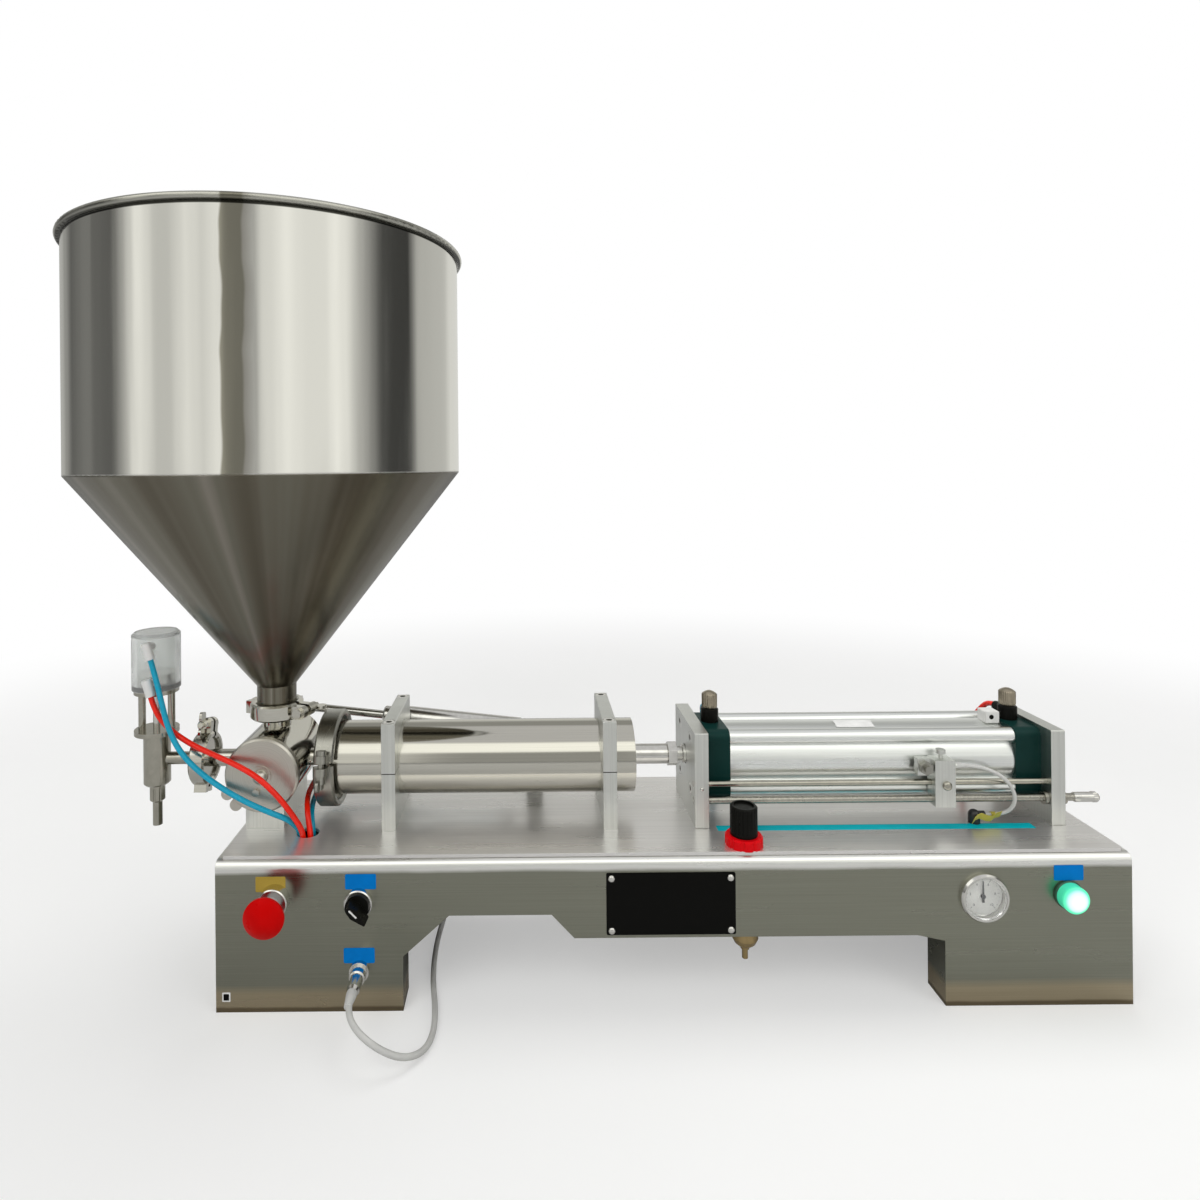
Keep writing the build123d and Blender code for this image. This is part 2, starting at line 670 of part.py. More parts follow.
def product_piston():
    """The piston with a shallow cone in front, two seal grooves and a bore for the rod's spigot."""
    radius = PUMP_RADIUS - PUMP_WALL - PISTON_GAP
    points = [(0, 0), (radius - 4, 0), (radius, 4)]
    for start in seal_places():
        points += [(radius, start), (radius - SEAL_DEPTH, start)]
        points += [(radius - SEAL_DEPTH, start + SEAL_WIDTH), (radius, start + SEAL_WIDTH)]
    points += [(radius, PISTON_LENGTH - 2), (radius - 2, PISTON_LENGTH), (0, PISTON_LENGTH)]
    return turned((piston_face(), LINE_Y, line_z), (1, 0, 0), points)


def piston_seals():
    outer = PUMP_RADIUS - PUMP_WALL - RUNNING_FIT
    inner = PUMP_RADIUS - PUMP_WALL - PISTON_GAP - SEAL_DEPTH + SEAT_FIT
    rings = []
    for start in seal_places():
        low, high = start + SEAT_FIT, start + SEAL_WIDTH - SEAT_FIT
        points = [(inner, low), (outer - 1, low), (outer, low + 1)]
        points += [(outer, high - 1), (outer - 1, high), (inner, high)]
        rings.append(turned((piston_face(), LINE_Y, line_z), (1, 0, 0), points))
    return rings


def piston_rod():
    """The rod from the product piston to the lock nut, with a threaded socket in its end."""
    start = piston_face() + PISTON_LENGTH
    end = pump_end + ROD_SHOW
    length = end - start
    points = [
        (0, 0),
        (PISTON_ROD_RADIUS, 0),
        (PISTON_ROD_RADIUS, length - 1),
        (PISTON_ROD_RADIUS - 1, length),
        (THREAD_RADIUS + SEAT_FIT, length),
        (THREAD_RADIUS + SEAT_FIT, length - THREAD_REACH - 2),
        (0, length - THREAD_REACH - 2),
    ]
    rod = turned((start, LINE_Y, line_z), (1, 0, 0), points)
    nut = hexagon((end, LINE_Y, line_z), (1, 0, 0), NUT_FLATS, NUT_LENGTH)
    nut -= bar((end - 1, LINE_Y, line_z), (end + NUT_LENGTH + 1, LINE_Y, line_z), THREAD_RADIUS + SEAT_FIT)
    return rod, nut


def air_rod():
    """The cylinder's rod with its threaded end, and the air piston on its other end."""
    start = pump_end + ROD_SHOW - THREAD_REACH
    shoulder = plate_1 - 4 - start
    air_end = barrel_end - END_CUSHION
    length = air_end - start
    points = [
        (0, 0),
        (THREAD_RADIUS, 0),
        (THREAD_RADIUS, shoulder),
        (AIR_ROD_RADIUS - 0.8, shoulder),
        (AIR_ROD_RADIUS, shoulder + 0.8),
        (AIR_ROD_RADIUS, length),
        (0, length),
    ]
    rod = turned((start, LINE_Y, line_z), (1, 0, 0), points)
    outer = AIR_BORE - RUNNING_FIT
    inner = AIR_ROD_RADIUS + SEAT_FIT
    disc = [(inner, 0), (outer, 0), (outer, AIR_PISTON_LENGTH), (inner, AIR_PISTON_LENGTH)]
    return rod, turned((air_end - AIR_PISTON_LENGTH, LINE_Y, line_z), (1, 0, 0), disc)


def end_plate(x, outer_face, rod_hole):
    """An end plate on the deck. outer_face is +1 where its screws enter from the right."""
    deep = (LINE_Y - SADDLE_DEPTH / 2, LINE_Y + SADDLE_DEPTH / 2)
    wide = (x, x + PLATE_THICKNESS)
    plate = block(wide, deep, (deck_top, deck_top + PLATE_HEIGHT))
    plate = chamfer(plate.edges().filter_by(Axis.X), 0.8)
    plate -= bar((wide[0] - 1, LINE_Y, line_z), (wide[1] + 1, LINE_Y, line_z), rod_hole)
    face = wide[1] if outer_face > 0 else wide[0]
    for y, z in plate_screw_places():
        plate -= screw_hole((face, y, z), (-outer_face, 0, 0), PLATE_THICKNESS + 1)
    for drop, radius, fit in ((GUIDE_DROP, GUIDE_RADIUS, SEAT_FIT), (SCREW_DROP, LEAD_RADIUS, RUNNING_FIT)):
        z = line_z - drop
        plate -= bar((wide[0] - 1, ADJUST_Y, z), (wide[1] + 1, ADJUST_Y, z), radius + fit)
    return plate


def air_cap(x, inner_side):
    """A cast cap. inner_side is +1 where the barrel is on its right."""
    section = RectangleRounded(AIR_CAP_SIZE, AIR_CAP_SIZE, AIR_CAP_CORNER)
    cap = extrude(Plane(origin=(x, LINE_Y, line_z), z_dir=(1, 0, 0)) * section, AIR_CAP_LENGTH)
    far = x if inner_side > 0 else x + AIR_CAP_LENGTH
    for y, z in plate_screw_places():
        cap -= bar((far, y, z), (far + inner_side * (SCREW_GRIP + 2), y, z), SCREW_RADIUS + SEAT_FIT)
    far = x + AIR_CAP_LENGTH + 1
    cap -= bar((x - 1, LINE_Y, line_z), (far, LINE_Y, line_z), AIR_ROD_RADIUS + RUNNING_FIT)
    flow = x + AIR_CAP_LENGTH / 2
    top = line_z + AIR_CAP_SIZE / 2
    cap -= bar((flow, LINE_Y, line_z), (flow, LINE_Y, top + 1), SCREW_RADIUS)
    return cap


def rear_cap():
    """The far cap, which has no rod hole."""
    cap = air_cap(barrel_end, -1)
    seal = bar((barrel_end, LINE_Y, line_z), (plate_2, LINE_Y, line_z), AIR_ROD_RADIUS + RUNNING_FIT)
    return cap + seal


def air_barrel():
    """Extruded barrel with four ribs that hold the screws' line."""
    outline = Circle(AIR_BARREL_RADIUS)
    half = TIE_SPAN / 2
    for a in (-1, 1):
        for b in (-1, 1):
            outline += Pos(a * half, b * half) * Circle(LOBE_RADIUS)
    outline -= Circle(AIR_BORE)
    plane = Plane(origin=(barrel_start, LINE_Y, line_z), z_dir=(1, 0, 0))
    return extrude(plane * outline, AIR_BARREL_LENGTH)


def flow_places():
    return (cap_1 + AIR_CAP_LENGTH / 2, barrel_end + AIR_CAP_LENGTH / 2)


def flow_control(x):
    """Speed control body on a cap, with its hose port to the back."""
    base = line_z + AIR_CAP_SIZE / 2
    points = [
        (SCREW_RADIUS / 2, 0),
        (FLOW_RADIUS, 0),
        (FLOW_RADIUS, FLOW_HEIGHT - 1),
        (FLOW_RADIUS - 1, FLOW_HEIGHT),
        (FLOW_KNOB_RADIUS / 2 + RUNNING_FIT, FLOW_HEIGHT),
        (FLOW_KNOB_RADIUS / 2 + RUNNING_FIT, FLOW_PORT_Z / 2),
        (SCREW_RADIUS / 2, FLOW_PORT_Z / 2),
    ]
    body = turned((x, LINE_Y, base), (0, 0, 1), points)
    z = base + FLOW_PORT_Z
    port = bar((x, LINE_Y + FLOW_RADIUS - 3, z), (x, LINE_Y + FLOW_PORT_REACH, z), ELBOW_RADIUS)
    return body + port


def flow_knob(x):
    """Adjusting screw with a locking nut and a fluted knob."""
    base = line_z + AIR_CAP_SIZE / 2 + FLOW_HEIGHT
    stem = FLOW_KNOB_RADIUS / 2
    depth = FLOW_HEIGHT - FLOW_PORT_Z / 2 - 1
    knob = bar((x, LINE_Y, base - depth), (x, LINE_Y, base + 8), stem)
    knob += hexagon((x, LINE_Y, base + HOLE_FIT), (0, 0, 1), 2 * FLOW_KNOB_RADIUS, 5.0)
    top = bar((x, LINE_Y, base + 7), (x, LINE_Y, base + FLOW_KNOB_HEIGHT), FLOW_KNOB_RADIUS)
    for step in range(12):
        angle = step * math.tau / 12
        fx = x + (FLOW_KNOB_RADIUS + 0.4) * math.cos(angle)
        fy = LINE_Y + (FLOW_KNOB_RADIUS + 0.4) * math.sin(angle)
        top -= bar((fx, fy, base + 6), (fx, fy, base + FLOW_KNOB_HEIGHT + 1), 1.0)
    return knob + top


# Volume adjuster


def guide_rod():
    z = line_z - GUIDE_DROP
    return bar((plate_1, ADJUST_Y, z), (plate_2_end, ADJUST_Y, z), GUIDE_RADIUS)


def lead_screw():
    """Adjusting screw through both plates, with a collar each side of the second."""
    z = line_z - SCREW_DROP
    screw = bar((plate_1 + 1, ADJUST_Y, z), (plate_2_end + LEAD_OVERHANG, ADJUST_Y, z), LEAD_RADIUS)
    for start in (plate_2 - COLLAR_LENGTH / 2 - HOLE_FIT, plate_2_end + HOLE_FIT):
        screw += bar((start, ADJUST_Y, z), (start + COLLAR_LENGTH / 2, ADJUST_Y, z), COLLAR_RADIUS)
    return screw


def carriage_right():
    return plate_2 - CARRIAGE_HOME


def carriage():
    """Block that rides on the guide rod and the screw, with a tab for the sensor."""
    right = carriage_right()
    left = right - CARRIAGE_WIDTH
    guide_z, screw_z = line_z - GUIDE_DROP, line_z - SCREW_DROP
    deep = (ADJUST_Y - CARRIAGE_FRONT, ADJUST_Y + CARRIAGE_BACK)
    top = guide_z + CARRIAGE_RISE
    solid = block((left, right), deep, (screw_z - CARRIAGE_FALL, top))
    solid = chamfer(solid.edges().filter_by(Axis.Y), 0.6)
    tab_y = (ADJUST_Y - TAB_THICKNESS / 2, ADJUST_Y + TAB_THICKNESS / 2)
    solid += block((left - TAB_REACH, left + 1), tab_y, (sensor_z() - 9, sensor_z() + 9))
    for z, radius in ((guide_z, GUIDE_RADIUS), (screw_z, LEAD_RADIUS)):
        solid -= bar((left - 1, ADJUST_Y, z), (right + 1, ADJUST_Y, z), radius + RUNNING_FIT)
    x = sensor_x()
    solid -= bar((x, tab_y[0] - 1, sensor_z()), (x, tab_y[1] + 1, sensor_z()), SENSOR_RADIUS + SEAT_FIT)
    z = sensor_z()
    gland = bar((right - 1, ADJUST_Y, z), (right + 6, ADJUST_Y, z), SENSOR_CABLE_RADIUS + 1.5)
    middle = (left + right) / 2
    thumb = bar((middle, ADJUST_Y, top - 1), (middle, ADJUST_Y, top + THUMB_HEIGHT - 4), 2.0)
    crown = top + THUMB_HEIGHT
    thumb += bar((middle, ADJUST_Y, crown - 4), (middle, ADJUST_Y, crown), THUMB_RADIUS)
    return solid + gland + thumb


def sensor_x():
    return carriage_right() - CARRIAGE_WIDTH - TAB_REACH / 2


def sensor_z():
    return line_z - GUIDE_DROP + CARRIAGE_RISE - 9


def reed_sensor():
    """Threaded sensor through the carriage's tab, with a nut in front."""
    x, z = sensor_x(), sensor_z()
    start = ADJUST_Y - TAB_THICKNESS / 2 - 9
    body = bar((x, start, z), (x, start + SENSOR_LENGTH, z), SENSOR_RADIUS)
    return body + hexagon((x, ADJUST_Y - TAB_THICKNESS / 2, z), (0, -1, 0), SENSOR_FLATS, 5.0)


# Hopper


def hopper():
    """Open bowl of thin sheet, in three parts that meet face to face: wall, cone and neck."""
    centre = (VALVE_X, LINE_Y)
    bore = NECK_RADIUS - HOPPER_WALL
    inside = HOPPER_RADIUS - HOPPER_WALL
    slope = math.atan2(HOPPER_CONE_HEIGHT, HOPPER_RADIUS - NECK_RADIUS)
    lift = HOPPER_WALL * math.tan((math.pi / 2 - slope) / 2)
    foot = [(bore, NECK_LENGTH + lift), (NECK_RADIUS + lift / math.tan(slope), NECK_LENGTH + lift)]
    points = [(bore, 0)] + flange(NECK_RADIUS, SMALL_FLANGE)
    points += [(NECK_RADIUS, NECK_LENGTH), foot[1], foot[0]]
    neck = turned((*centre, neck_z), (0, 0, 1), points)
    seam = NECK_LENGTH + HOPPER_CONE_HEIGHT
    rim = [(HOPPER_RADIUS, seam), (HOPPER_RADIUS, seam + lift), (inside, seam + lift)]
    cone = turned((*centre, neck_z), (0, 0, 1), foot + rim)
    height = HOPPER_WALL_HEIGHT - lift
    sheet = [(inside, 0), (HOPPER_RADIUS, 0), (HOPPER_RADIUS, height), (inside, height)]
    wall = turned((*centre, hopper_seam + lift), (0, 0, 1), sheet)
    bead = Torus(HOPPER_RADIUS + BEAD_RADIUS - HOPPER_WALL, BEAD_RADIUS)
    return wall + Pos(*centre, hopper_top) * bead, cone, neck


# Clamps


def clamp(origin, axis, across, rim, width):
    """A two-part pipe clamp. across points from the pipe to the closing bolt."""
    frame = Plane(origin=origin, x_dir=across, z_dir=axis)
    half = width / 2
    groove = FLANGE_RIM + SEAT_FIT
    throat = groove + FLANGE_TAPER
    inner = rim - CLAMP_LIP
    outer = rim + CLAMP_WALL
    points = [
        (inner, -half + 2),
        (inner, -throat),
        (rim + SEAT_FIT, -groove),
        (rim + SEAT_FIT, groove),
        (inner, throat),
        (inner, half - 2),
        (inner + 2, half),
        (outer - 2, half),
        (outer, half - 2),
        (outer, -half + 2),
        (outer - 2, -half),
        (inner + 2, -half),
    ]
    ring = revolve(Plane.XZ * make_face(Polyline(*points, close=True)), Axis.Z)
    lug_half = LUG_WIDTH / 2
    reach = outer + LUG_REACH
    solids = []
    for side in (1, -1):
        near = side * CLAMP_SPLIT / 2
        cut = block((-2 * outer, 2 * outer), sorted((near, side * 2 * outer)), (-width, width))
        part = ring & cut
        lug = block((outer - 3, reach), sorted((near, near + side * LUG_THICKNESS)), (-lug_half, lug_half))
        ear = block((-outer - 7, 3 - outer), sorted((near, near + side * 6)), (-lug_half, lug_half))
        part += fillet(lug.edges().filter_by(Axis.Y).group_by(Axis.X)[-1], LUG_WIDTH / 2 - 1) + ear
        hole_x = outer + LUG_REACH / 2
        part -= bar((hole_x, -outer, 0), (hole_x, outer, 0), CLAMP_BOLT + HOLE_FIT)
        solids.append(part)
    stack = CLAMP_SPLIT / 2 + LUG_THICKNESS
    hole_x = outer + LUG_REACH / 2
    bolt = bar((hole_x, -stack - 4, 0), (hole_x, stack + 14, 0), CLAMP_BOLT)
    bolt += bar((hole_x, -stack - 5, 0), (hole_x, -stack, 0), 5.5)
    nut = bar((hole_x, stack, 0), (hole_x, stack + 8, 0), 5.5)
    for side in (-1, 1):
        wing = Pos(hole_x + side * 9, stack + 9, 0) * Box(11, 12, 3)
        nut += fillet(wing.edges().filter_by(Axis.Z), 4)
    nut -= bar((hole_x, stack - 1, 0), (hole_x, stack + 20, 0), CLAMP_BOLT + SEAT_FIT)
    pin_x = -outer - 4
    pin = block((pin_x - 2, pin_x + 2), (-CLAMP_SPLIT / 2, CLAMP_SPLIT / 2), (-lug_half, lug_half))
    return [frame * piece for piece in (*solids, bolt, nut, pin)]


# Nozzle


def nozzle_levels():
    """Heights of the nozzle's steps, from the spout's end up."""
    low = line_z - NOZZLE_FALL
    tip = low - TIP_LENGTH
    return tip - SPOUT_LENGTH, tip, low, line_z + NOZZLE_RISE


def nozzle_body():
    """Nozzle with its arm from the outlet joint, a stepped tip, and the yoke that carries its drive."""
    end, tip, low, high = nozzle_levels()
    centre = (nozzle_x, LINE_Y)
    points = [
        (0, end),
        (SPOUT_RADIUS, end),
        (SPOUT_RADIUS, tip),
        (TIP_RADIUS - 2, tip),
        (TIP_RADIUS, tip + 2),
        (TIP_RADIUS, low),
        (NOZZLE_RADIUS - 2, low),
        (NOZZLE_RADIUS, low + 2),
        (NOZZLE_RADIUS, high),
        (0, high),
    ]
    body = turned((*centre, 0), (0, 0, 1), points)
    arm = flange(SMALL_ARM_RADIUS, SMALL_FLANGE)
    run = outlet_x - nozzle_x
    body += turned(
        (outlet_x, LINE_Y, line_z), (-1, 0, 0), [(0, 0)] + arm + [(SMALL_ARM_RADIUS, run), (0, run)]
    )
    body += bar((*centre, high), (*centre, high + YOKE_PLATE), YOKE_RADIUS)
    top = high + YOKE_RISE
    body += bar((*centre, top - YOKE_PLATE), (*centre, top), YOKE_RADIUS)
    for side in (-1, 1):
        post = (nozzle_x + side * POST_OFFSET, LINE_Y)
        body += bar((*post, high + 1), (*post, top - 1), POST_RADIUS)
    chamber = NOZZLE_RADIUS - NOZZLE_WALL
    body -= bar((*centre, low + 2), (*centre, high - 4), chamber)
    body -= bar((*centre, tip + 4), (*centre, low + 3), NEEDLE_RADIUS + 1.2)
    body -= bar((*centre, end - 1), (*centre, tip + 5), SPOUT_BORE)
    body -= bar((*centre, high - 5), (*centre, top + 1), NEEDLE_RADIUS + RUNNING_FIT)
    body -= bar((nozzle_x, LINE_Y, line_z), (outlet_x + 1, LINE_Y, line_z), SMALL_ARM_RADIUS - ARM_WALL)
    for step in range(8):
        angle = step * math.tau / 8
        x = nozzle_x + (TIP_RADIUS + 0.5) * math.cos(angle)
        y = LINE_Y + (TIP_RADIUS + 0.5) * math.sin(angle)
        body -= bar((x, y, tip - 1), (x, y, low - 4), 1.2)
    return body


def nozzle_needle():
    """Needle that closes the tip, with its piston in the drive cylinder."""
    end, tip, low, high = nozzle_levels()
    base = high + YOKE_RISE + DRIVE_WALL
    centre = (nozzle_x, LINE_Y)
    points = [
        (0, tip + 4.2),
        (SPOUT_BORE - 1, tip + 4.2),
        (NEEDLE_RADIUS, tip + 9),
        (NEEDLE_RADIUS, base + 3),
        (DRIVE_RADIUS - DRIVE_WALL - RUNNING_FIT, base + 3),
        (DRIVE_RADIUS - DRIVE_WALL - RUNNING_FIT, base + 13),
        (0, base + 13),
    ]
    return turned((*centre, 0), (0, 0, 1), points)


def nozzle_drive():
    """Clear drive cylinder, closed at both ends, with a shallow cap."""
    base = nozzle_levels()[3] + YOKE_RISE
    inner = DRIVE_RADIUS - DRIVE_WALL
    hole = NEEDLE_RADIUS + RUNNING_FIT
    points = [
        (hole, 0),
        (DRIVE_RADIUS, 0),
        (DRIVE_RADIUS, DRIVE_HEIGHT - 3),
        (DRIVE_RADIUS - 3, DRIVE_HEIGHT),
        (0, DRIVE_HEIGHT),
        (0, DRIVE_HEIGHT - DRIVE_WALL),
        (inner, DRIVE_HEIGHT - DRIVE_WALL),
        (inner, DRIVE_WALL),
        (hole, DRIVE_WALL),
    ]
    return turned((nozzle_x, LINE_Y, base), (0, 0, 1), points)


def elbow_seats():
    """Centres of the two elbows on the front of the drive cylinder, lower first."""
    base = nozzle_levels()[3] + YOKE_RISE
    y = LINE_Y - math.sqrt(DRIVE_RADIUS**2 - ELBOW_SHIFT**2) - ELBOW_REACH
    x = nozzle_x + ELBOW_SHIFT
    return [(x, y, base + ELBOW_INSET), (x, y, base + DRIVE_HEIGHT - ELBOW_INSET)]


def elbow_way():
    tilt = math.radians(ELBOW_TILT)
    return Vector(math.sin(tilt), 0, -math.cos(tilt))


def elbow(seat):
    """A push-in elbow: a stub into the cylinder and a barrel that points down."""
    x, y, z = seat
    way = elbow_way()
    edge = math.sqrt(DRIVE_RADIUS**2 - (ELBOW_SHIFT + ELBOW_RADIUS - 1) ** 2)
    stub = bar((x, y, z), (x, LINE_Y - edge - SEAT_FIT, z), ELBOW_RADIUS - 1)
    stub -= bar((nozzle_x, LINE_Y, z - 20), (nozzle_x, LINE_Y, z + 20), DRIVE_RADIUS + SEAT_FIT)
    start = Vector(x, y, z) - way * (ELBOW_RADIUS + 1)
    end = Vector(x, y, z) + way * ELBOW_BARREL
    return stub + bar(tuple(start), tuple(end), ELBOW_RADIUS)


# Valve actuator and its lever


def actuator_point(along, up=0.0):
    """A point on the actuator's plane, measured from the valve's axis along the tilted stroke."""
    tilt = math.radians(ACTUATOR_TILT)
    height = CRANK * math.cos(math.radians(VALVE_TURN / 2)) + up
    x = VALVE_X + along * math.cos(tilt) + height * math.sin(tilt)
    z = line_z - along * math.sin(tilt) + height * math.cos(tilt)
    return (x, ACTUATOR_Y, z)


def actuator_way():
    tilt = math.radians(ACTUATOR_TILT)
    return (math.cos(tilt), 0, -math.sin(tilt))


def crank_reach():
    """How far the crank pin stands left of the valve's axis at rest, along the stroke."""
    return CRANK * math.sin(math.radians(VALVE_TURN / 2))


def tilted(shape):
    """Turn a piece drawn level about the valve's axis to the actuator's tilt."""
    return Pos(VALVE_X, 0, line_z) * Rot(0, ACTUATOR_TILT, 0) * Pos(-VALVE_X, 0, -line_z) * shape


def valve_lever():
    """Hub on the rotor's shaft with a slotted arm for the crank pin."""
    hub_start = valve_back + HUB_GAP
    hub_end = valve_back + SHAFT_END
    arm_y = (ACTUATOR_Y - LEVER_THICKNESS / 2, ACTUATOR_Y + LEVER_THICKNESS / 2)
    lever = bar((VALVE_X, hub_start, line_z), (VALVE_X, hub_start + HUB_THICKNESS, line_z), HUB_RADIUS)
    lever += bar((VALVE_X, hub_start, line_z), (VALVE_X, hub_end, line_z), SLEEVE_RADIUS)
    near = CRANK * math.cos(math.radians(VALVE_TURN / 2))
    plane = Plane(origin=(VALVE_X, arm_y[1], line_z), x_dir=(1, 0, 0), z_dir=(0, -1, 0))
    head = Pos(0, CRANK) * Circle(LEVER_HEAD)
    arm = head + Circle(SLEEVE_RADIUS) + Pos(0, CRANK / 2) * Rectangle(2 * LEVER_HEAD, CRANK)
    slot_radius = CRANK_PIN + SLOT_CLEARANCE
    slot = Pos(0, near) * Circle(slot_radius) + Pos(0, CRANK) * Circle(slot_radius)
    slot += Pos(0, (near + CRANK) / 2) * Rectangle(2 * slot_radius, CRANK - near)
    turn = Rot(0, 0, VALVE_TURN / 2 - ACTUATOR_TILT)
    lever += extrude(plane * (turn * (arm - slot)), LEVER_THICKNESS)
    shaft_hole = bar((VALVE_X, hub_start - 1, line_z), (VALVE_X, hub_end + 1, line_z), SHAFT_RADIUS + SEAT_FIT)
    return lever - shaft_hole


def actuator_rod():
    """Rod with its piston, and the fork that holds the crank pin."""
    pin = -crank_reach()
    level = line_z + CRANK * math.cos(math.radians(VALVE_TURN / 2))
    x = VALVE_X + pin
    slot_half = LEVER_THICKNESS / 2 + FORK_GAP
    outer_half = slot_half + FORK_EAR
    fork = block(
        (x - FORK_HALF, x + FORK_LENGTH),
        (ACTUATOR_Y - outer_half, ACTUATOR_Y + outer_half),
        (level - FORK_HALF, level + FORK_HALF),
    )
    fork = fillet(fork.edges().filter_by(Axis.Y).group_by(Axis.X)[0], FORK_HALF - 0.5)
    fork -= block(
        (x - 2 * FORK_HALF, x + FORK_SLOT),
        (ACTUATOR_Y - slot_half, ACTUATOR_Y + slot_half),
        (level - 2 * FORK_HALF, level + 2 * FORK_HALF),
    )
    fork += bar((x, ACTUATOR_Y - outer_half - 2, level), (x, ACTUATOR_Y + outer_half + 2, level), CRANK_PIN)
    piston_at = VALVE_X + NOSE_START + NOSE_LENGTH + 4
    rod = bar((x + FORK_LENGTH - 1, ACTUATOR_Y, level), (piston_at + 1, ACTUATOR_Y, level), ACTUATOR_ROD)
    radius = ACTUATOR_BARREL - ACTUATOR_WALL - RUNNING_FIT
    rod += bar((piston_at, ACTUATOR_Y, level), (piston_at + ACTUATOR_PISTON, ACTUATOR_Y, level), radius)
    return tilted(fork + rod)


def actuator_barrel():
    """Barrel with a nose round the rod and a tongue on its rear pivot."""
    level = line_z + CRANK * math.cos(math.radians(VALVE_TURN / 2))
    inner = ACTUATOR_BARREL - ACTUATOR_WALL
    tube = NOSE_LENGTH
    end = tube + ACTUATOR_LENGTH
    hole = ACTUATOR_ROD + RUNNING_FIT
    points = [
        (hole, 0),
        (NOSE_RADIUS - 2, 0),
        (NOSE_RADIUS, 2),
        (NOSE_RADIUS, tube - 4),
        (ACTUATOR_BARREL - 1, tube - 4),
        (ACTUATOR_BARREL, tube - 3),
        (ACTUATOR_BARREL, end - 1),
        (ACTUATOR_BARREL - 1, end),
        (0, end),
        (0, end - 8),
        (inner, end - 8),
        (inner, tube),
        (hole, tube),
    ]
    start = VALVE_X + NOSE_START
    barrel = turned((start, ACTUATOR_Y, level), (1, 0, 0), points)
    pivot = VALVE_X + ACTUATOR_PIVOT
    tongue = block((start + end - 1, pivot), (ACTUATOR_Y - 5, ACTUATOR_Y + 5), (level - 8, level + 8))
    tongue += bar((pivot, ACTUATOR_Y - 5, level), (pivot, ACTUATOR_Y + 5, level), 8)
    barrel += tongue
    barrel -= bar((pivot, ACTUATOR_Y - 9, level), (pivot, ACTUATOR_Y + 9, level), PIVOT_PIN + SEAT_FIT)
    return tilted(barrel)


def actuator_bracket():
    """Deck bracket with two ears and the pivot pin."""
    x, y, z = actuator_point(ACTUATOR_PIVOT)
    half = BRACKET_WIDTH / 2
    deep = BRACKET_DEPTH / 2
    bracket = block((x - half, x + half), (y - deep, y + deep), (deck_top, deck_top + BRACKET_THICKNESS))
    for side in (-1, 1):
        ear = sorted((y + side * 5.5, y + side * 10.5))
        bracket += block((x - EAR_WIDTH / 2, x + EAR_WIDTH / 2), ear, (deck_top + 1, z))
        bracket += bar((x, ear[0], z), (x, ear[1], z), EAR_WIDTH / 2)
    bracket -= bar((x, y - 20, z), (x, y + 20, z), PIVOT_PIN + SEAT_FIT)
    for side in (-1, 1):
        spot = (x + side * (half - 7), y)
        bracket -= bar((*spot, deck_top - 1), (*spot, deck_top + BRACKET_THICKNESS + 1), 3.0)
    return bracket, bar((x, y - 13, z), (x, y + 13, z), PIVOT_PIN)


def port_places():
    """Where the actuator's two elbows sit under its barrel, nearer the valve first."""
    return (NOSE_START + NOSE_LENGTH + 8, NOSE_START + NOSE_LENGTH + ACTUATOR_LENGTH - 12)


def actuator_elbow(along):
    """An elbow under the barrel, with its hose end towards the valve."""
    way = Vector(*actuator_way())
    root = Vector(*actuator_point(along, -ACTUATOR_BARREL - SEAT_FIT))
    down = Vector(-way.Z, 0, way.X) * -1
    centre = root + down * (ELBOW_RADIUS + 3)
    stub = bar(tuple(root), tuple(centre), ELBOW_RADIUS - 1)
    end = centre - way * ELBOW_BARREL
    start = centre + way * (ELBOW_RADIUS + 1)
    return stub + bar(tuple(start), tuple(end), ELBOW_RADIUS)


def actuator_hose_start(along):
    way = Vector(*actuator_way())
    root = Vector(*actuator_point(along, -ACTUATOR_BARREL - SEAT_FIT))
    down = Vector(-way.Z, 0, way.X) * -1
    return tuple(root + down * (ELBOW_RADIUS + 3) - way * ELBOW_BARREL)


# Front panel devices


def panel_device(x, z, collar, length):
    """Collar in front, threaded barrel through the sheet and contact block behind."""
    device = bar((x, front, z), (x, front - length, z), collar)
    device = chamfer(device.edges().group_by(Axis.Y)[0], 1.0)
    device += bar((x, front - 1, z), (x, front + 8, z), DEVICE_BARREL)
    half = DEVICE_BLOCK / 2
    inside = front + SHEET
    device += block((x - half, x + half), (inside, inside + DEVICE_DEPTH), (z - half, z + half))
    return device - bar((x, front - length - 1, z), (x, inside + DEVICE_DEPTH - 3, z), DEVICE_BORE)


def panel_devices():
    return (
        panel_device(ESTOP_X, ESTOP_Z, ESTOP_COLLAR, ESTOP_COLLAR_LENGTH),
        panel_device(SELECTOR_X, SELECTOR_Z, SELECTOR_BEZEL, BEZEL_LENGTH),
        panel_device(LAMP_X, LAMP_Z, LAMP_RADIUS, 3.0),
    )


def estop_face():
    return front - ESTOP_COLLAR_LENGTH - ESTOP_GAP


def estop_stem():
    """Plunger through the collar, with a narrow neck for the head."""
    radius = DEVICE_BORE - RUNNING_FIT
    end = front + SHEET + DEVICE_DEPTH - 3 - ESTOP_PRESS - 2
    face = estop_face()
    stem = bar((ESTOP_X, face, ESTOP_Z), (ESTOP_X, end, ESTOP_Z), radius)
    return stem + bar((ESTOP_X, face - 9, ESTOP_Z), (ESTOP_X, face + 1, ESTOP_Z), radius / 2)


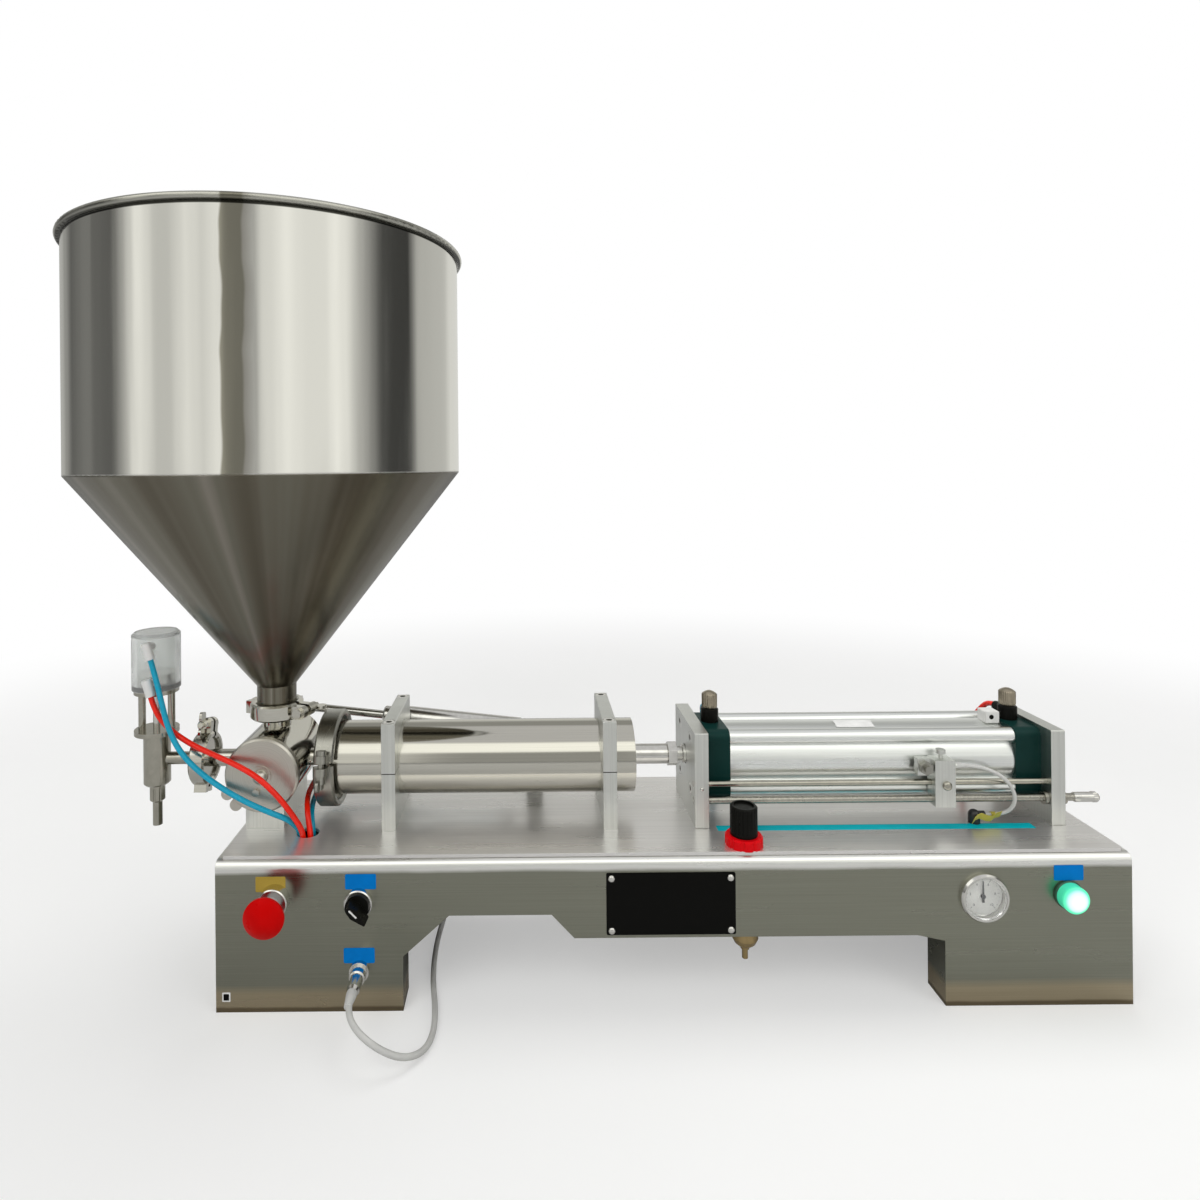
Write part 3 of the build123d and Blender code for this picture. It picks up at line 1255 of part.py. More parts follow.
def estop_head():
    """Mushroom head, dished behind and domed in front."""
    neck = (DEVICE_BORE - RUNNING_FIT) / 2 + RUNNING_FIT
    edge = ESTOP_HEAD
    length = ESTOP_HEAD_LENGTH
    skirt = DEVICE_BORE + 1
    points = [(0, 10), (neck, 10), (neck, HOLE_FIT), (skirt, HOLE_FIT), (edge - 5, 3), (edge - 1, 5.5)]
    points += [(edge, 7.5), (edge, length), (0, length)]
    return domed((ESTOP_X, estop_face(), ESTOP_Z), (0, -1, 0), points, edge, 10, length)


def selector_knob():
    """Turning disc with a teardrop grip, its spindle in the bezel."""
    face = front - BEZEL_LENGTH - HOLE_FIT
    radius = DEVICE_BORE - RUNNING_FIT
    knob = bar((SELECTOR_X, face, SELECTOR_Z), (SELECTOR_X, front + 20, SELECTOR_Z), radius)
    knob += bar((SELECTOR_X, face, SELECTOR_Z), (SELECTOR_X, face - 4, SELECTOR_Z), SELECTOR_DISC)
    outline = make_hull((Circle(6.0) + Pos(0, -14) * Circle(2.0) + Pos(0, 7) * Circle(3.5)).edges())
    plane = Plane(origin=(SELECTOR_X, face - 3, SELECTOR_Z), x_dir=(1, 0, 0), z_dir=(0, -1, 0))
    grip = extrude(plane * (Rot(0, 0, 45) * outline), SELECTOR_GRIP, taper=4)
    return knob + grip


def lamp_lens():
    """Domed lens of the pilot lamp, its shank in the bezel."""
    face = front - 3.0
    shank = bar((LAMP_X, face, LAMP_Z), (LAMP_X, front + 15, LAMP_Z), DEVICE_BORE - SEAT_FIT)
    rim = LAMP_RADIUS - 1
    length = LAMP_LENGTH
    points = [(0, 0), (rim, 0), (rim, length), (0, length)]
    return shank + domed((LAMP_X, face, LAMP_Z), (0, -1, 0), points, rim, length - 4, length)


def gauge_case():
    """Gauge with a rim in front of the panel, a recessed face and a port behind."""
    rim, depth = GAUGE_RIM, GAUGE_DEPTH
    recess = GAUGE_RECESS - GAUGE_RIM_LENGTH
    points = [
        (1.0 + RUNNING_FIT, -depth + 8),
        (1.0 + RUNNING_FIT, -recess),
        (GAUGE_FACE, -recess),
        (GAUGE_FACE, GAUGE_RIM_LENGTH - LENS_THICKNESS - 1),
        (GAUGE_FACE + 1, GAUGE_RIM_LENGTH - LENS_THICKNESS - 1),
        (GAUGE_FACE + 1, GAUGE_RIM_LENGTH),
        (rim - 1.5, GAUGE_RIM_LENGTH),
        (rim, GAUGE_RIM_LENGTH - 2),
        (rim, 0),
        (GAUGE_BODY, 0),
        (GAUGE_BODY, -depth),
        (6, -depth),
        (6, -depth - 12),
        (0, -depth - 12),
        (0, -depth + 8),
    ]
    return turned((GAUGE_X, front, GAUGE_Z), (0, -1, 0), points)


def gauge_needle():
    """Pointer on a fine spindle."""
    face = front - (GAUGE_RIM_LENGTH - GAUGE_RECESS) - 1.2
    spindle = bar((GAUGE_X, face - 0.8, GAUGE_Z), (GAUGE_X, face + 8, GAUGE_Z), 1.0)
    hub = bar((GAUGE_X, face - 0.8, GAUGE_Z), (GAUGE_X, face, GAUGE_Z), 2.4)
    points = [(-1.1, -6), (1.1, -6), (0.3, NEEDLE_LENGTH), (-0.3, NEEDLE_LENGTH)]
    plane = Plane(origin=(GAUGE_X, face, GAUGE_Z), x_dir=(1, 0, 0), z_dir=(0, -1, 0))
    return spindle + hub + extrude(plane * make_face(Polyline(*points, close=True)), 0.8)


def gauge_lens():
    face = front - GAUGE_RIM_LENGTH
    radius = GAUGE_FACE + 1 - SEAT_FIT
    return bar((GAUGE_X, face + 0.5, GAUGE_Z), (GAUGE_X, face + 0.5 + LENS_THICKNESS, GAUGE_Z), radius)


def pedal_socket():
    """Panel socket for the pedal's plug."""
    x, z = PEDAL_X, PEDAL_Z
    socket = bar((x, front, z), (x, front - SOCKET_LENGTH, z), SOCKET_RADIUS)
    return socket + bar((x, front - 1, z), (x, front + 14, z), PLUG_RADIUS)


def pedal_plug():
    """Screw-on cable plug with a knurled ring and a narrower tail."""
    length = PLUG_LENGTH
    points = [
        (0, 0),
        (PLUG_RADIUS, 0),
        (PLUG_RADIUS, 9),
        (PLUG_RADIUS - 1.5, 10),
        (PLUG_RADIUS - 1.5, length - 4),
        (CABLE_RADIUS + 1.5, length),
        (0, length),
    ]
    return turned((PEDAL_X, front - SOCKET_LENGTH, PEDAL_Z), (0, -1, 0), points)


# Air supply


def regulator_y():
    return front + REGULATOR_INSET


def regulator_body():
    """Regulator and filter under the deck, with its neck up through the deck and its drain below."""
    x, y = REGULATOR_X, regulator_y()
    top = CABINET_HEIGHT - SHEET
    half = REGULATOR_BODY / 2
    low = top - REGULATOR_HEIGHT
    shoulder = top - REGULATOR_SHOULDER
    body = block((x - half, x + half), (y - half, y + half), (low, shoulder))
    body = chamfer(body.edges().filter_by(Axis.Z), 3.0)
    body += bar((x, y, shoulder - 1), (x, y, top), REGULATOR_NECK + 1)
    body += bar((x, y, top - 1), (x, y, deck_top + RING_HEIGHT + KNOB_HEIGHT / 2), REGULATOR_NECK)
    foot = low - BOWL_HEIGHT
    points = [
        (0, 0),
        (BOWL_RADIUS, 0),
        (BOWL_RADIUS, BOWL_HEIGHT - 8),
        (BOWL_RADIUS - 2.5, BOWL_HEIGHT - 3),
        (BOWL_RADIUS - 6, BOWL_HEIGHT),
        (DRAIN_RADIUS + 1.5, BOWL_HEIGHT),
        (DRAIN_RADIUS + 1.5, BOWL_HEIGHT + 4),
        (DRAIN_RADIUS, BOWL_HEIGHT + 4),
        (DRAIN_RADIUS, BOWL_HEIGHT + DRAIN_LENGTH),
        (0, BOWL_HEIGHT + DRAIN_LENGTH),
    ]
    body += turned((x, y, low + 1), (0, 0, -1), points)
    return body


def panel_ring():
    """Red nut that holds the regulator to the deck."""
    x, y = REGULATOR_X, regulator_y()
    ring = bar((x, y, deck_top), (x, y, deck_top + RING_HEIGHT), RING_RADIUS)
    ring = chamfer(ring.edges().group_by(Axis.Z)[-1], 1.5)
    for step in range(10):
        angle = step * math.tau / 10
        gx, gy = x + (RING_RADIUS + 1) * math.cos(angle), y + (RING_RADIUS + 1) * math.sin(angle)
        ring -= bar((gx, gy, deck_top - 1), (gx, gy, deck_top + RING_HEIGHT + 1), 2.4)
    return ring - bar((x, y, deck_top - 1), (x, y, deck_top + RING_HEIGHT + 1), REGULATOR_NECK + SEAT_FIT)


def regulator_knob():
    """Hollow knob over the neck, which lifts to unlock and then turns."""
    x, y = REGULATOR_X, regulator_y()
    base = deck_top + RING_HEIGHT + HOLE_FIT
    top = base + KNOB_HEIGHT
    inner = REGULATOR_NECK + RUNNING_FIT
    knob = turned(
        (x, y, base),
        (0, 0, 1),
        [
            (inner, 0),
            (KNOB_RADIUS, 0),
            (KNOB_RADIUS, KNOB_HEIGHT - 1.5),
            (KNOB_RADIUS - 1.5, KNOB_HEIGHT),
            (KNOB_RADIUS - 3.5, KNOB_HEIGHT),
            (KNOB_RADIUS - 3.5, KNOB_HEIGHT - 2),
            (0, KNOB_HEIGHT - 2),
            (0, KNOB_HEIGHT - 6),
            (inner, KNOB_HEIGHT - 6),
        ],
    )
    for step in range(20):
        angle = step * math.tau / 20
        gx, gy = x + (KNOB_RADIUS + 0.3) * math.cos(angle), y + (KNOB_RADIUS + 0.3) * math.sin(angle)
        knob -= bar((gx, gy, base + 4), (gx, gy, top + 1), 0.8)
    return knob


def hose_ends():
    """Where the four small hoses plug into the valve block, in the deck hole's square."""
    x, y = hose_hole
    return {
        "nozzle_red": (x - 3.5, y - 6.0),
        "nozzle_blue": (x - 6.0, y + 2.5),
        "actuator_red": (x + 4.5, y - 4.5),
        "actuator_blue": (x + 4.0, y + 5.5),
    }


def manifold_top():
    return CABINET_HEIGHT - MANIFOLD_DROP


def valve_block():
    """Solenoid valve block hung under the deck, below the hose hole."""
    wide, deep, tall = MANIFOLD
    x = hose_hole[0]
    near = hose_hole[1] - 16
    top = manifold_top()
    solid = block((x - wide / 2, x + wide / 2), (near, near + deep), (top - tall, top))
    for hx, hy in hose_ends().values():
        solid += bar((hx, hy, top - 1), (hx, hy, top + NIPPLE_LENGTH), NIPPLE_RADIUS)
    for side in (-1, 1):
        spot = (x + side * (wide / 2 - 4), near + deep - 4)
        solid += bar((*spot, top - 1), (*spot, CABINET_HEIGHT), 4.0)
        coil = x + side * wide / 4
        solid += block((coil - 9, coil + 9), (near + deep - 1, near + deep + 26), (top - tall + 3, top - 3))
    return solid


def hose_union(place):
    """Push-in union through the deck for a cylinder hose."""
    x, y = place
    body = bar((x, y, deck_top), (x, y, deck_top + UNION_HEIGHT), UNION_RADIUS)
    body += hexagon((x, y, deck_top), (0, 0, 1), 2 * UNION_RADIUS + 2, 4.0)
    low = CABINET_HEIGHT - 12
    return body + bar((x, y, low), (x, y, deck_top + 1), UNION_RADIUS - 2)


def sensor_gland():
    """Angled gland on the deck for the sensor's cable."""
    x, y = GLAND_SPOT
    z = deck_top + GLAND_HEIGHT
    body = bar((x, y, deck_top), (x, y, z), GLAND_RADIUS)
    body += bar((x, y, CABINET_HEIGHT - 8), (x, y, deck_top + 1), GLAND_RADIUS - 2)
    body += Pos(x, y, z) * Sphere(GLAND_RADIUS)
    return body + bar((x, y, z), (x + GLAND_REACH, y, z), SENSOR_CABLE_RADIUS + 2)


def air_inlet():
    """Push-in air inlet in the back panel."""
    x, z = INLET_X, INLET_Z
    points = [
        (0, -12),
        (INLET_RADIUS, -12),
        (INLET_RADIUS, 0),
        (INLET_RADIUS + 2.5, 0),
        (INLET_RADIUS + 2.5, 5),
        (INLET_RADIUS, 5),
        (INLET_RADIUS, INLET_LENGTH),
        (INLET_BORE, INLET_LENGTH),
        (INLET_BORE, INLET_LENGTH - 12),
        (0, INLET_LENGTH - 12),
    ]
    return turned((x, back, z), (0, 1, 0), points)


def power_inlet():
    """Mains inlet in the back panel with its recess and three pins."""
    wide, tall = POWER_SIZE
    x, z = POWER_X, POWER_Z
    rim = 2.5
    depth = (back - POWER_DEPTH, back + 1)
    shell = block((x - wide / 2, x + wide / 2), depth, (z - tall / 2, z + tall / 2))
    lip = (back, back + rim)
    shell += block((x - wide / 2 - 3, x + wide / 2 + 3), lip, (z - tall / 2 - 3, z + tall / 2 + 3))
    recess = block((x - 12, x + 12), (back - 16, back + rim + 1), (z - 8, z + 8))
    shell -= chamfer(recess.edges().filter_by(Axis.Y).group_by(Axis.Z)[-1], 4.5)
    for dx, dz in ((-7, -2), (0, 2), (7, -2)):
        shell += block((x + dx - 1, x + dx + 1), (back - 17, back - 3), (z + dz - 2, z + dz + 2))
    return shell


# Hoses and cables


def bend_radii(points):
    """The radius of each bend, as large as the runs beside it allow."""
    radii = []
    for before, corner, after in zip(points, points[1:], points[2:]):
        came = Vector(*corner) - Vector(*before)
        goes = Vector(*after) - Vector(*corner)
        turn = math.radians(came.get_angle(goes))
        radii.append(BEND_SHARE * min(came.length, goes.length) / math.tan(turn / 2))
    return radii


def tube(points, radius):
    """A round bar along straight runs joined by arcs."""
    path = FilletPolyline(*points, radius=bend_radii(points))
    return sweep(Plane(origin=path @ 0, z_dir=path % 0) * Circle(radius), path=path), path.length


def hose(name, points, radius):
    """A hose or cable, with its length, bend radii and a check of its volume printed."""
    solid, length = tube(points, radius)
    share = solid.volume / (math.pi * radius**2 * length)
    print(name, "length", round(length, 1), "volume ratio", round(share, 4))
    print("   radii", [round(r) for r in bend_radii(points)])
    return solid


def ahead(start, way, length):
    """The point straight out of an exit, which every hose and cable runs to first."""
    return tuple(Vector(*start) + Vector(*way) * length)


def around_valve(*places):
    """Places counted from the middle of the valve, which the hoses near it move with."""
    return [(VALVE_X + x, LINE_Y + y, line_z + z) for x, y, z in places]


def nozzle_hose_starts():
    way = elbow_way()
    return [tuple(Vector(*seat) + way * ELBOW_BARREL) for seat in elbow_seats()]


def hose_foot(name):
    """The last two points of a hose that plugs into the valve block."""
    x, y = hose_ends()[name]
    end = manifold_top() + NIPPLE_LENGTH
    return [(x, y, end + HOSE_TAIL), (x, y, end)]


def nozzle_hose_blue():
    start = nozzle_hose_starts()[1]
    way = around_valve(
        (-113.5, -42, 76),
        (-105, -45, 48),
        (-88, -51, 22),
        (-58, -58, -1),
        (-18, -67, -20.5),
        (15, -71, -33),
        (35, -64, -44.5),
    )
    return [start, ahead(start, elbow_way(), 22), *way, *hose_foot("nozzle_blue")]


def nozzle_hose_red():
    start = nozzle_hose_starts()[0]
    way = around_valve(
        (-107, -36, 44),
        (-81, -42, 30),
        (-52, -52, 22),
        (-24, -65, 16.5),
        (3, -75, 7),
        (25, -76, -13.5),
        (38.5, -71, -35.5),
        (46, -63.5, -54),
    )
    return [start, ahead(start, elbow_way(), 19), *way, *hose_foot("nozzle_red")]


def actuator_hose_red():
    """Between the valve and the pump clamp, under the pipe there, then behind the clamp."""
    start = actuator_hose_start(port_places()[0])
    way = around_valve(
        (88, 73, -1),
        (65, 71, -15),
        (48, 55, -26),
        (41.5, 29, -30),
        (40.5, -1, -31),
        (42, -29, -34),
        (49, -52, -45),
    )
    return [start, ahead(start, actuator_way(), -20), *way, *hose_foot("actuator_red")]


def actuator_hose_blue():
    start = actuator_hose_start(port_places()[1])
    way = around_valve(
        (198, 74, -9),
        (167, 74, -18),
        (135, 74, -24.5),
        (103, 73, -28),
        (75, 67, -31),
        (53, 51, -37),
        (45, 27, -40),
        (44, -2, -42.5),
        (47, -29, -46),
        (51, -42.5, -53.5),
    )
    return [start, ahead(start, actuator_way(), -25), *way, *hose_foot("actuator_blue")]


def cylinder_hose(flow_x, union):
    """From a speed control's port, back and down behind the barrel, to its union in the deck."""
    y = LINE_Y + FLOW_PORT_REACH
    z = line_z + AIR_CAP_SIZE / 2 + FLOW_PORT_Z
    ux, uy = union
    side = (ux - flow_x) / 5
    end = deck_top + UNION_HEIGHT
    return [
        (flow_x, y, z),
        (flow_x, y + 16, z),
        (flow_x + side, y + 30, z - 7),
        (flow_x + 2 * side, uy + 1, z - 23),
        (flow_x + 3.2 * side, uy + 3, z - 45),
        (flow_x + 4.3 * side, uy + 1, z - 66),
        (ux, uy, end + 14),
        (ux, uy, end),
    ]


def sensor_cable_route():
    start = (carriage_right() + 6, ADJUST_Y, sensor_z())
    end = (GLAND_SPOT[0] + GLAND_REACH, GLAND_SPOT[1], deck_top + GLAND_HEIGHT)
    x, y, z = start
    return [
        start,
        ahead(start, (1, 0, 0), 17),
        (x + 34.1, y - 6, z - 2.5),
        (x + 50.1, y - 11, z - 12.5),
        (x + 58.1, y - 12, z - 29.5),
        (x + 56.6, y - 7, z - 45.5),
        (end[0] + 16.5, *end[1:]),
        end,
    ]


def pedal_cable_route():
    """From the plug round the left foot, under the machine, to the coil behind it."""
    z = CABLE_RADIUS + 0.5
    start = (PEDAL_X, front - SOCKET_LENGTH - PLUG_LENGTH, PEDAL_Z)
    coil_x, coil_y = COIL_SPOT
    return [
        start,
        ahead(start, (0, -1, 0), 22),
        (PEDAL_X + 12, -177, PEDAL_Z - 5),
        (PEDAL_X + 34, -187, PEDAL_Z - 15),
        (PEDAL_X + 56, -182, 14),
        (PEDAL_X + 72, -164, z + 2),
        (-240, -139, z + 0.1),
        (-242, -104, z),
        (-251, -55, z),
        (-254, 0, z + 0.1),
        (-251, 55, z),
        (-247, 100, z + 0.1),
        (-238, 138, z),
        (coil_x + COIL_RADIUS - 1.5, coil_y - 30, z + 0.1),
        (coil_x + COIL_RADIUS, coil_y, z),
    ]


def pedal_lead_ends():
    """The short lead from the far side of the coil into the pedal."""
    coil_x, coil_y = COIL_SPOT
    z = PEDAL_GLAND_Z
    y = coil_y + COIL_RADIUS
    return (coil_x, y, z), (PEDAL_SPOT[0] + PEDAL_LENGTH / 2 + PEDAL_GLAND, y, z)


# Foot pedal


def pedal_coil():
    """Outer shape of the wound cable."""
    x, y = COIL_SPOT
    half = COIL_THICKNESS / 2
    outer, inner = COIL_RADIUS + half + 1, COIL_RADIUS - half
    low = 0.5
    points = [
        (inner + 2, low),
        (outer - 2, low),
        (outer, low + 3),
        (outer, low + COIL_THICKNESS - 3),
        (outer - 3, low + COIL_THICKNESS),
        (inner + 3, low + COIL_THICKNESS),
        (inner, low + COIL_THICKNESS - 3),
        (inner, low + 3),
    ]
    coil = turned((x, y, 0), (0, 0, 1), points)
    channel = CABLE_RADIUS + HOLE_FIT
    coil -= tube(pedal_cable_route(), channel)[0]
    return coil - bar(*pedal_lead_ends(), channel)


def pedal_frame(shape):
    return Pos(*PEDAL_SPOT, 0) * shape


def treadle_axis():
    """Local place of the treadle's hinge: the heel end of the base, near its top."""
    return (-PEDAL_LENGTH / 2 + 9, PEDAL_HEIGHT - 5)


def pedal_base():
    """Base tray with two cheeks for the hinge, a switch box inside and a cable gland."""
    half, wide = PEDAL_LENGTH / 2, PEDAL_WIDTH / 2
    wall = PEDAL_WALL
    tray = extrude(RectangleRounded(PEDAL_LENGTH, PEDAL_WIDTH, 8), PEDAL_HEIGHT - 10)
    tray -= block((-half + wall, half - wall), (-wide + wall, wide - wall), (wall, PEDAL_HEIGHT))
    hx, hz = treadle_axis()
    for side in (-1, 1):
        cheek = sorted((side * wide, side * (wide - wall)))
        tray += block((hx - 8, hx + 8), cheek, (wall, hz))
        tray += bar((hx, cheek[0], hz), (hx, cheek[1], hz), 8)
    tray += block((-16, 14), (-10, 10), (wall - 1, PEDAL_HEIGHT - 13))
    gland_z = PEDAL_GLAND_Z
    tray += bar((half - 1, 0, gland_z), (half + PEDAL_GLAND, 0, gland_z), CABLE_RADIUS + 2.5)
    tray -= bar((hx, -wide - 1, hz), (hx, wide + 1, hz), 2.5 + SEAT_FIT)
    pin = bar((hx, -wide, hz), (hx, wide, hz), 2.5)
    return pedal_frame(tray), pedal_frame(pin)


def pedal_treadle():
    """Tread plate on the hinge, with ribs across its top and sides over the base."""
    hx, hz = treadle_axis()
    wide = PEDAL_WIDTH / 2 - PEDAL_WALL - 1
    length = PEDAL_LENGTH - 14
    side_wall = 3.0
    plate = block((-6, length), (-wide, wide), (4, 7.5))
    for side in (-1, 1):
        cheek = sorted((side * wide, side * (wide - side_wall)))
        plate += block((-6, length - 12), cheek, (0, 5))
        plate += bar((0, cheek[0], 0), (0, cheek[1], 0), 6)
    for step in range(9):
        x = 10 + step * (length - 20) / 8
        plate += block((x - 1.5, x + 1.5), (-wide + 3, wide - 3), (7, 9))
    plate -= bar((0, -wide - 1, 0), (0, wide + 1, 0), 2.5 + RUNNING_FIT)
    return pedal_frame(Pos(hx, 0, hz) * Rot(0, -TREADLE_ANGLE, 0) * plate)


def build():
    os.makedirs("parts", exist_ok=True)
    save("chassis", cabinet())
    save("deck_plate", deck())
    saddles = [piece for x in saddle_places() for piece in saddle_pair(x)]
    save("deck_supports", *saddles, valve_support(), *actuator_bracket())
    save("socket_screws", *screws())
    save("valve_body", valve_body())
    save("valve_cover", valve_cover())
    save("valve_rotor", valve_rotor())
    save("valve_lever", valve_lever())
    save("pump_tube", *pump_tube())
    save("product_piston", product_piston())
    save("piston_seals", *piston_seals())
    save("piston_rod", *piston_rod())
    save("air_rod", *air_rod())
    hole = AIR_ROD_RADIUS + 1
    save("end_plates", end_plate(plate_1, -1, hole), end_plate(plate_2, 1, hole))
    save("air_caps", air_cap(cap_1, 1), rear_cap())
    save("air_barrel", air_barrel())
    save("flow_controls", *(flow_control(x) for x in flow_places()))
    save("front_flow_knob", flow_knob(flow_places()[0]))
    save("rear_flow_knob", flow_knob(flow_places()[1]))
    save("guide_rod", guide_rod())
    save("lead_screw", lead_screw())
    save("sensor_carriage", carriage())
    save("reed_sensor", reed_sensor())
    wall, cone, neck = hopper()
    save("hopper", wall)
    save("hopper_cone", cone)
    save("hopper_neck", neck)
    joint = (joint_x, LINE_Y, line_z)
    save("pump_clamp", *clamp(joint, (1, 0, 0), (0, -1, 0.2), BIG_FLANGE, BIG_CLAMP_WIDTH))
    upper = clamp((VALVE_X, LINE_Y, neck_z), (0, 0, 1), (1, -0.35, 0), SMALL_FLANGE, SMALL_CLAMP_WIDTH)
    outlet = clamp((outlet_x, LINE_Y, line_z), (1, 0, 0), (0, 0.25, 1), SMALL_FLANGE, SMALL_CLAMP_WIDTH)
    save("pipe_clamps", *upper, *outlet)
    save("nozzle_body", nozzle_body())
    save("nozzle_needle", nozzle_needle())
    save("nozzle_drive", nozzle_drive())
    fittings = [elbow(seat) for seat in elbow_seats()]
    fittings += [actuator_elbow(along) for along in port_places()]
    fittings += [hose_union(place) for place in union_places()]
    save("push_fittings", *fittings, sensor_gland(), air_inlet())
    save("actuator_barrel", actuator_barrel())
    save("actuator_rod", actuator_rod())
    save("panel_devices", *panel_devices())
    save("estop_stem", estop_stem())
    save("estop_head", estop_head())
    save("selector_knob", selector_knob())
    save("lamp_lens", lamp_lens())
    save("gauge_case", gauge_case())
    save("gauge_needle", gauge_needle())
    save("gauge_lens", gauge_lens())
    save("regulator_body", regulator_body())
    save("panel_ring", panel_ring())
    save("regulator_knob", regulator_knob())
    save("valve_block", valve_block())
    save("power_inlet", power_inlet())
    save("pedal_socket", pedal_socket())
    save("pedal_plug", pedal_plug())
    save("pedal_coil", pedal_coil())
    save("pedal_base", *pedal_base())
    save("pedal_treadle", pedal_treadle())
    hoses = {
        "nozzle_hose_blue": nozzle_hose_blue(),
        "nozzle_hose_red": nozzle_hose_red(),
        "actuator_hose_blue": actuator_hose_blue(),
        "actuator_hose_red": actuator_hose_red(),
        "cylinder_hose_blue": cylinder_hose(flow_places()[0], union_places()[0]),
        "cylinder_hose_red": cylinder_hose(flow_places()[1], union_places()[1]),
    }
    for name, points in hoses.items():
        save(name, hose(name, points, HOSE_RADIUS))
    save("sensor_cable", hose("sensor_cable", sensor_cable_route(), SENSOR_CABLE_RADIUS))
    cable = hose("pedal_cable", pedal_cable_route(), CABLE_RADIUS)
    save("pedal_cable", cable, bar(*pedal_lead_ends(), CABLE_RADIUS))


build()
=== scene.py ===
import math

import bmesh
import bpy
from mathutils import Matrix, Vector


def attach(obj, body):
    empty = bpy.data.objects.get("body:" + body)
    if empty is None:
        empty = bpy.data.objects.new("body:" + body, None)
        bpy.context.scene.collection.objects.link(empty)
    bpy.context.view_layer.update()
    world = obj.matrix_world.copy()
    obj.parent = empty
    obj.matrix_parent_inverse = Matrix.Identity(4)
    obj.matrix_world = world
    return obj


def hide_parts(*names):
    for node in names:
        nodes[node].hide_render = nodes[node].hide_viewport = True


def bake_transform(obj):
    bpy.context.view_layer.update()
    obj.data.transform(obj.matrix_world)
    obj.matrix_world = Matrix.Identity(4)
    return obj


# Piston filling machine. Metres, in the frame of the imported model: +X towards the air
# cylinder, +Y towards the back, +Z up.

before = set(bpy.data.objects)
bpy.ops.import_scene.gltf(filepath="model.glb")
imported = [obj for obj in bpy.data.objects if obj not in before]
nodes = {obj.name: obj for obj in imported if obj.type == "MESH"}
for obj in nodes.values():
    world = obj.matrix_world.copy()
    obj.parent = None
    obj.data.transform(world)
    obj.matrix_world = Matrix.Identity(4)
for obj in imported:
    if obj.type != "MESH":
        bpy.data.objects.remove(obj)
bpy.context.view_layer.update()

# Camera, fitted to the cabinet's and saddles' corners in a frame of 1200 by 1200

FRAME_SIZE = 1200
FOCAL_PIXELS = 770.5
SENSOR_MM = 36.0
PRINCIPAL_POINT = (527, 467)
CAMERA_PLACE = (-0.1448, -0.8813, 0.5503)
CAMERA_ROLL = 0.0091


def add_camera():
    data = bpy.data.cameras.new("photo_camera")
    data.sensor_width = SENSOR_MM
    data.lens = FOCAL_PIXELS / FRAME_SIZE * SENSOR_MM
    data.shift_x = (FRAME_SIZE / 2 - PRINCIPAL_POINT[0]) / FRAME_SIZE
    data.shift_y = (PRINCIPAL_POINT[1] - FRAME_SIZE / 2) / FRAME_SIZE
    camera = bpy.data.objects.new("photo_camera", data)
    bpy.context.collection.objects.link(camera)
    upright = Matrix.Rotation(math.pi / 2, 4, "X")
    roll = Matrix.Rotation(CAMERA_ROLL, 4, "Y")
    camera.matrix_world = Matrix.Translation(CAMERA_PLACE) @ roll @ upright
    bpy.context.scene.camera = camera


add_camera()


# Materials

# Nearly all of a noise texture's values lie between these
NOISE_LOW, NOISE_HIGH = 0.3, 0.7


def mix_node(tree, factor, low, high, blend_type="MIX"):
    """Two colours mixed. Factor, low and high are each a socket or a plain value."""
    mix = tree.nodes.new("ShaderNodeMix")
    mix.data_type = "RGBA"
    mix.blend_type = blend_type
    for socket, value in ((0, factor), (6, low), (7, high)):
        if isinstance(value, (float, tuple)):
            mix.inputs[socket].default_value = value
        else:
            tree.links.new(value, mix.inputs[socket])
    return mix.outputs[2]


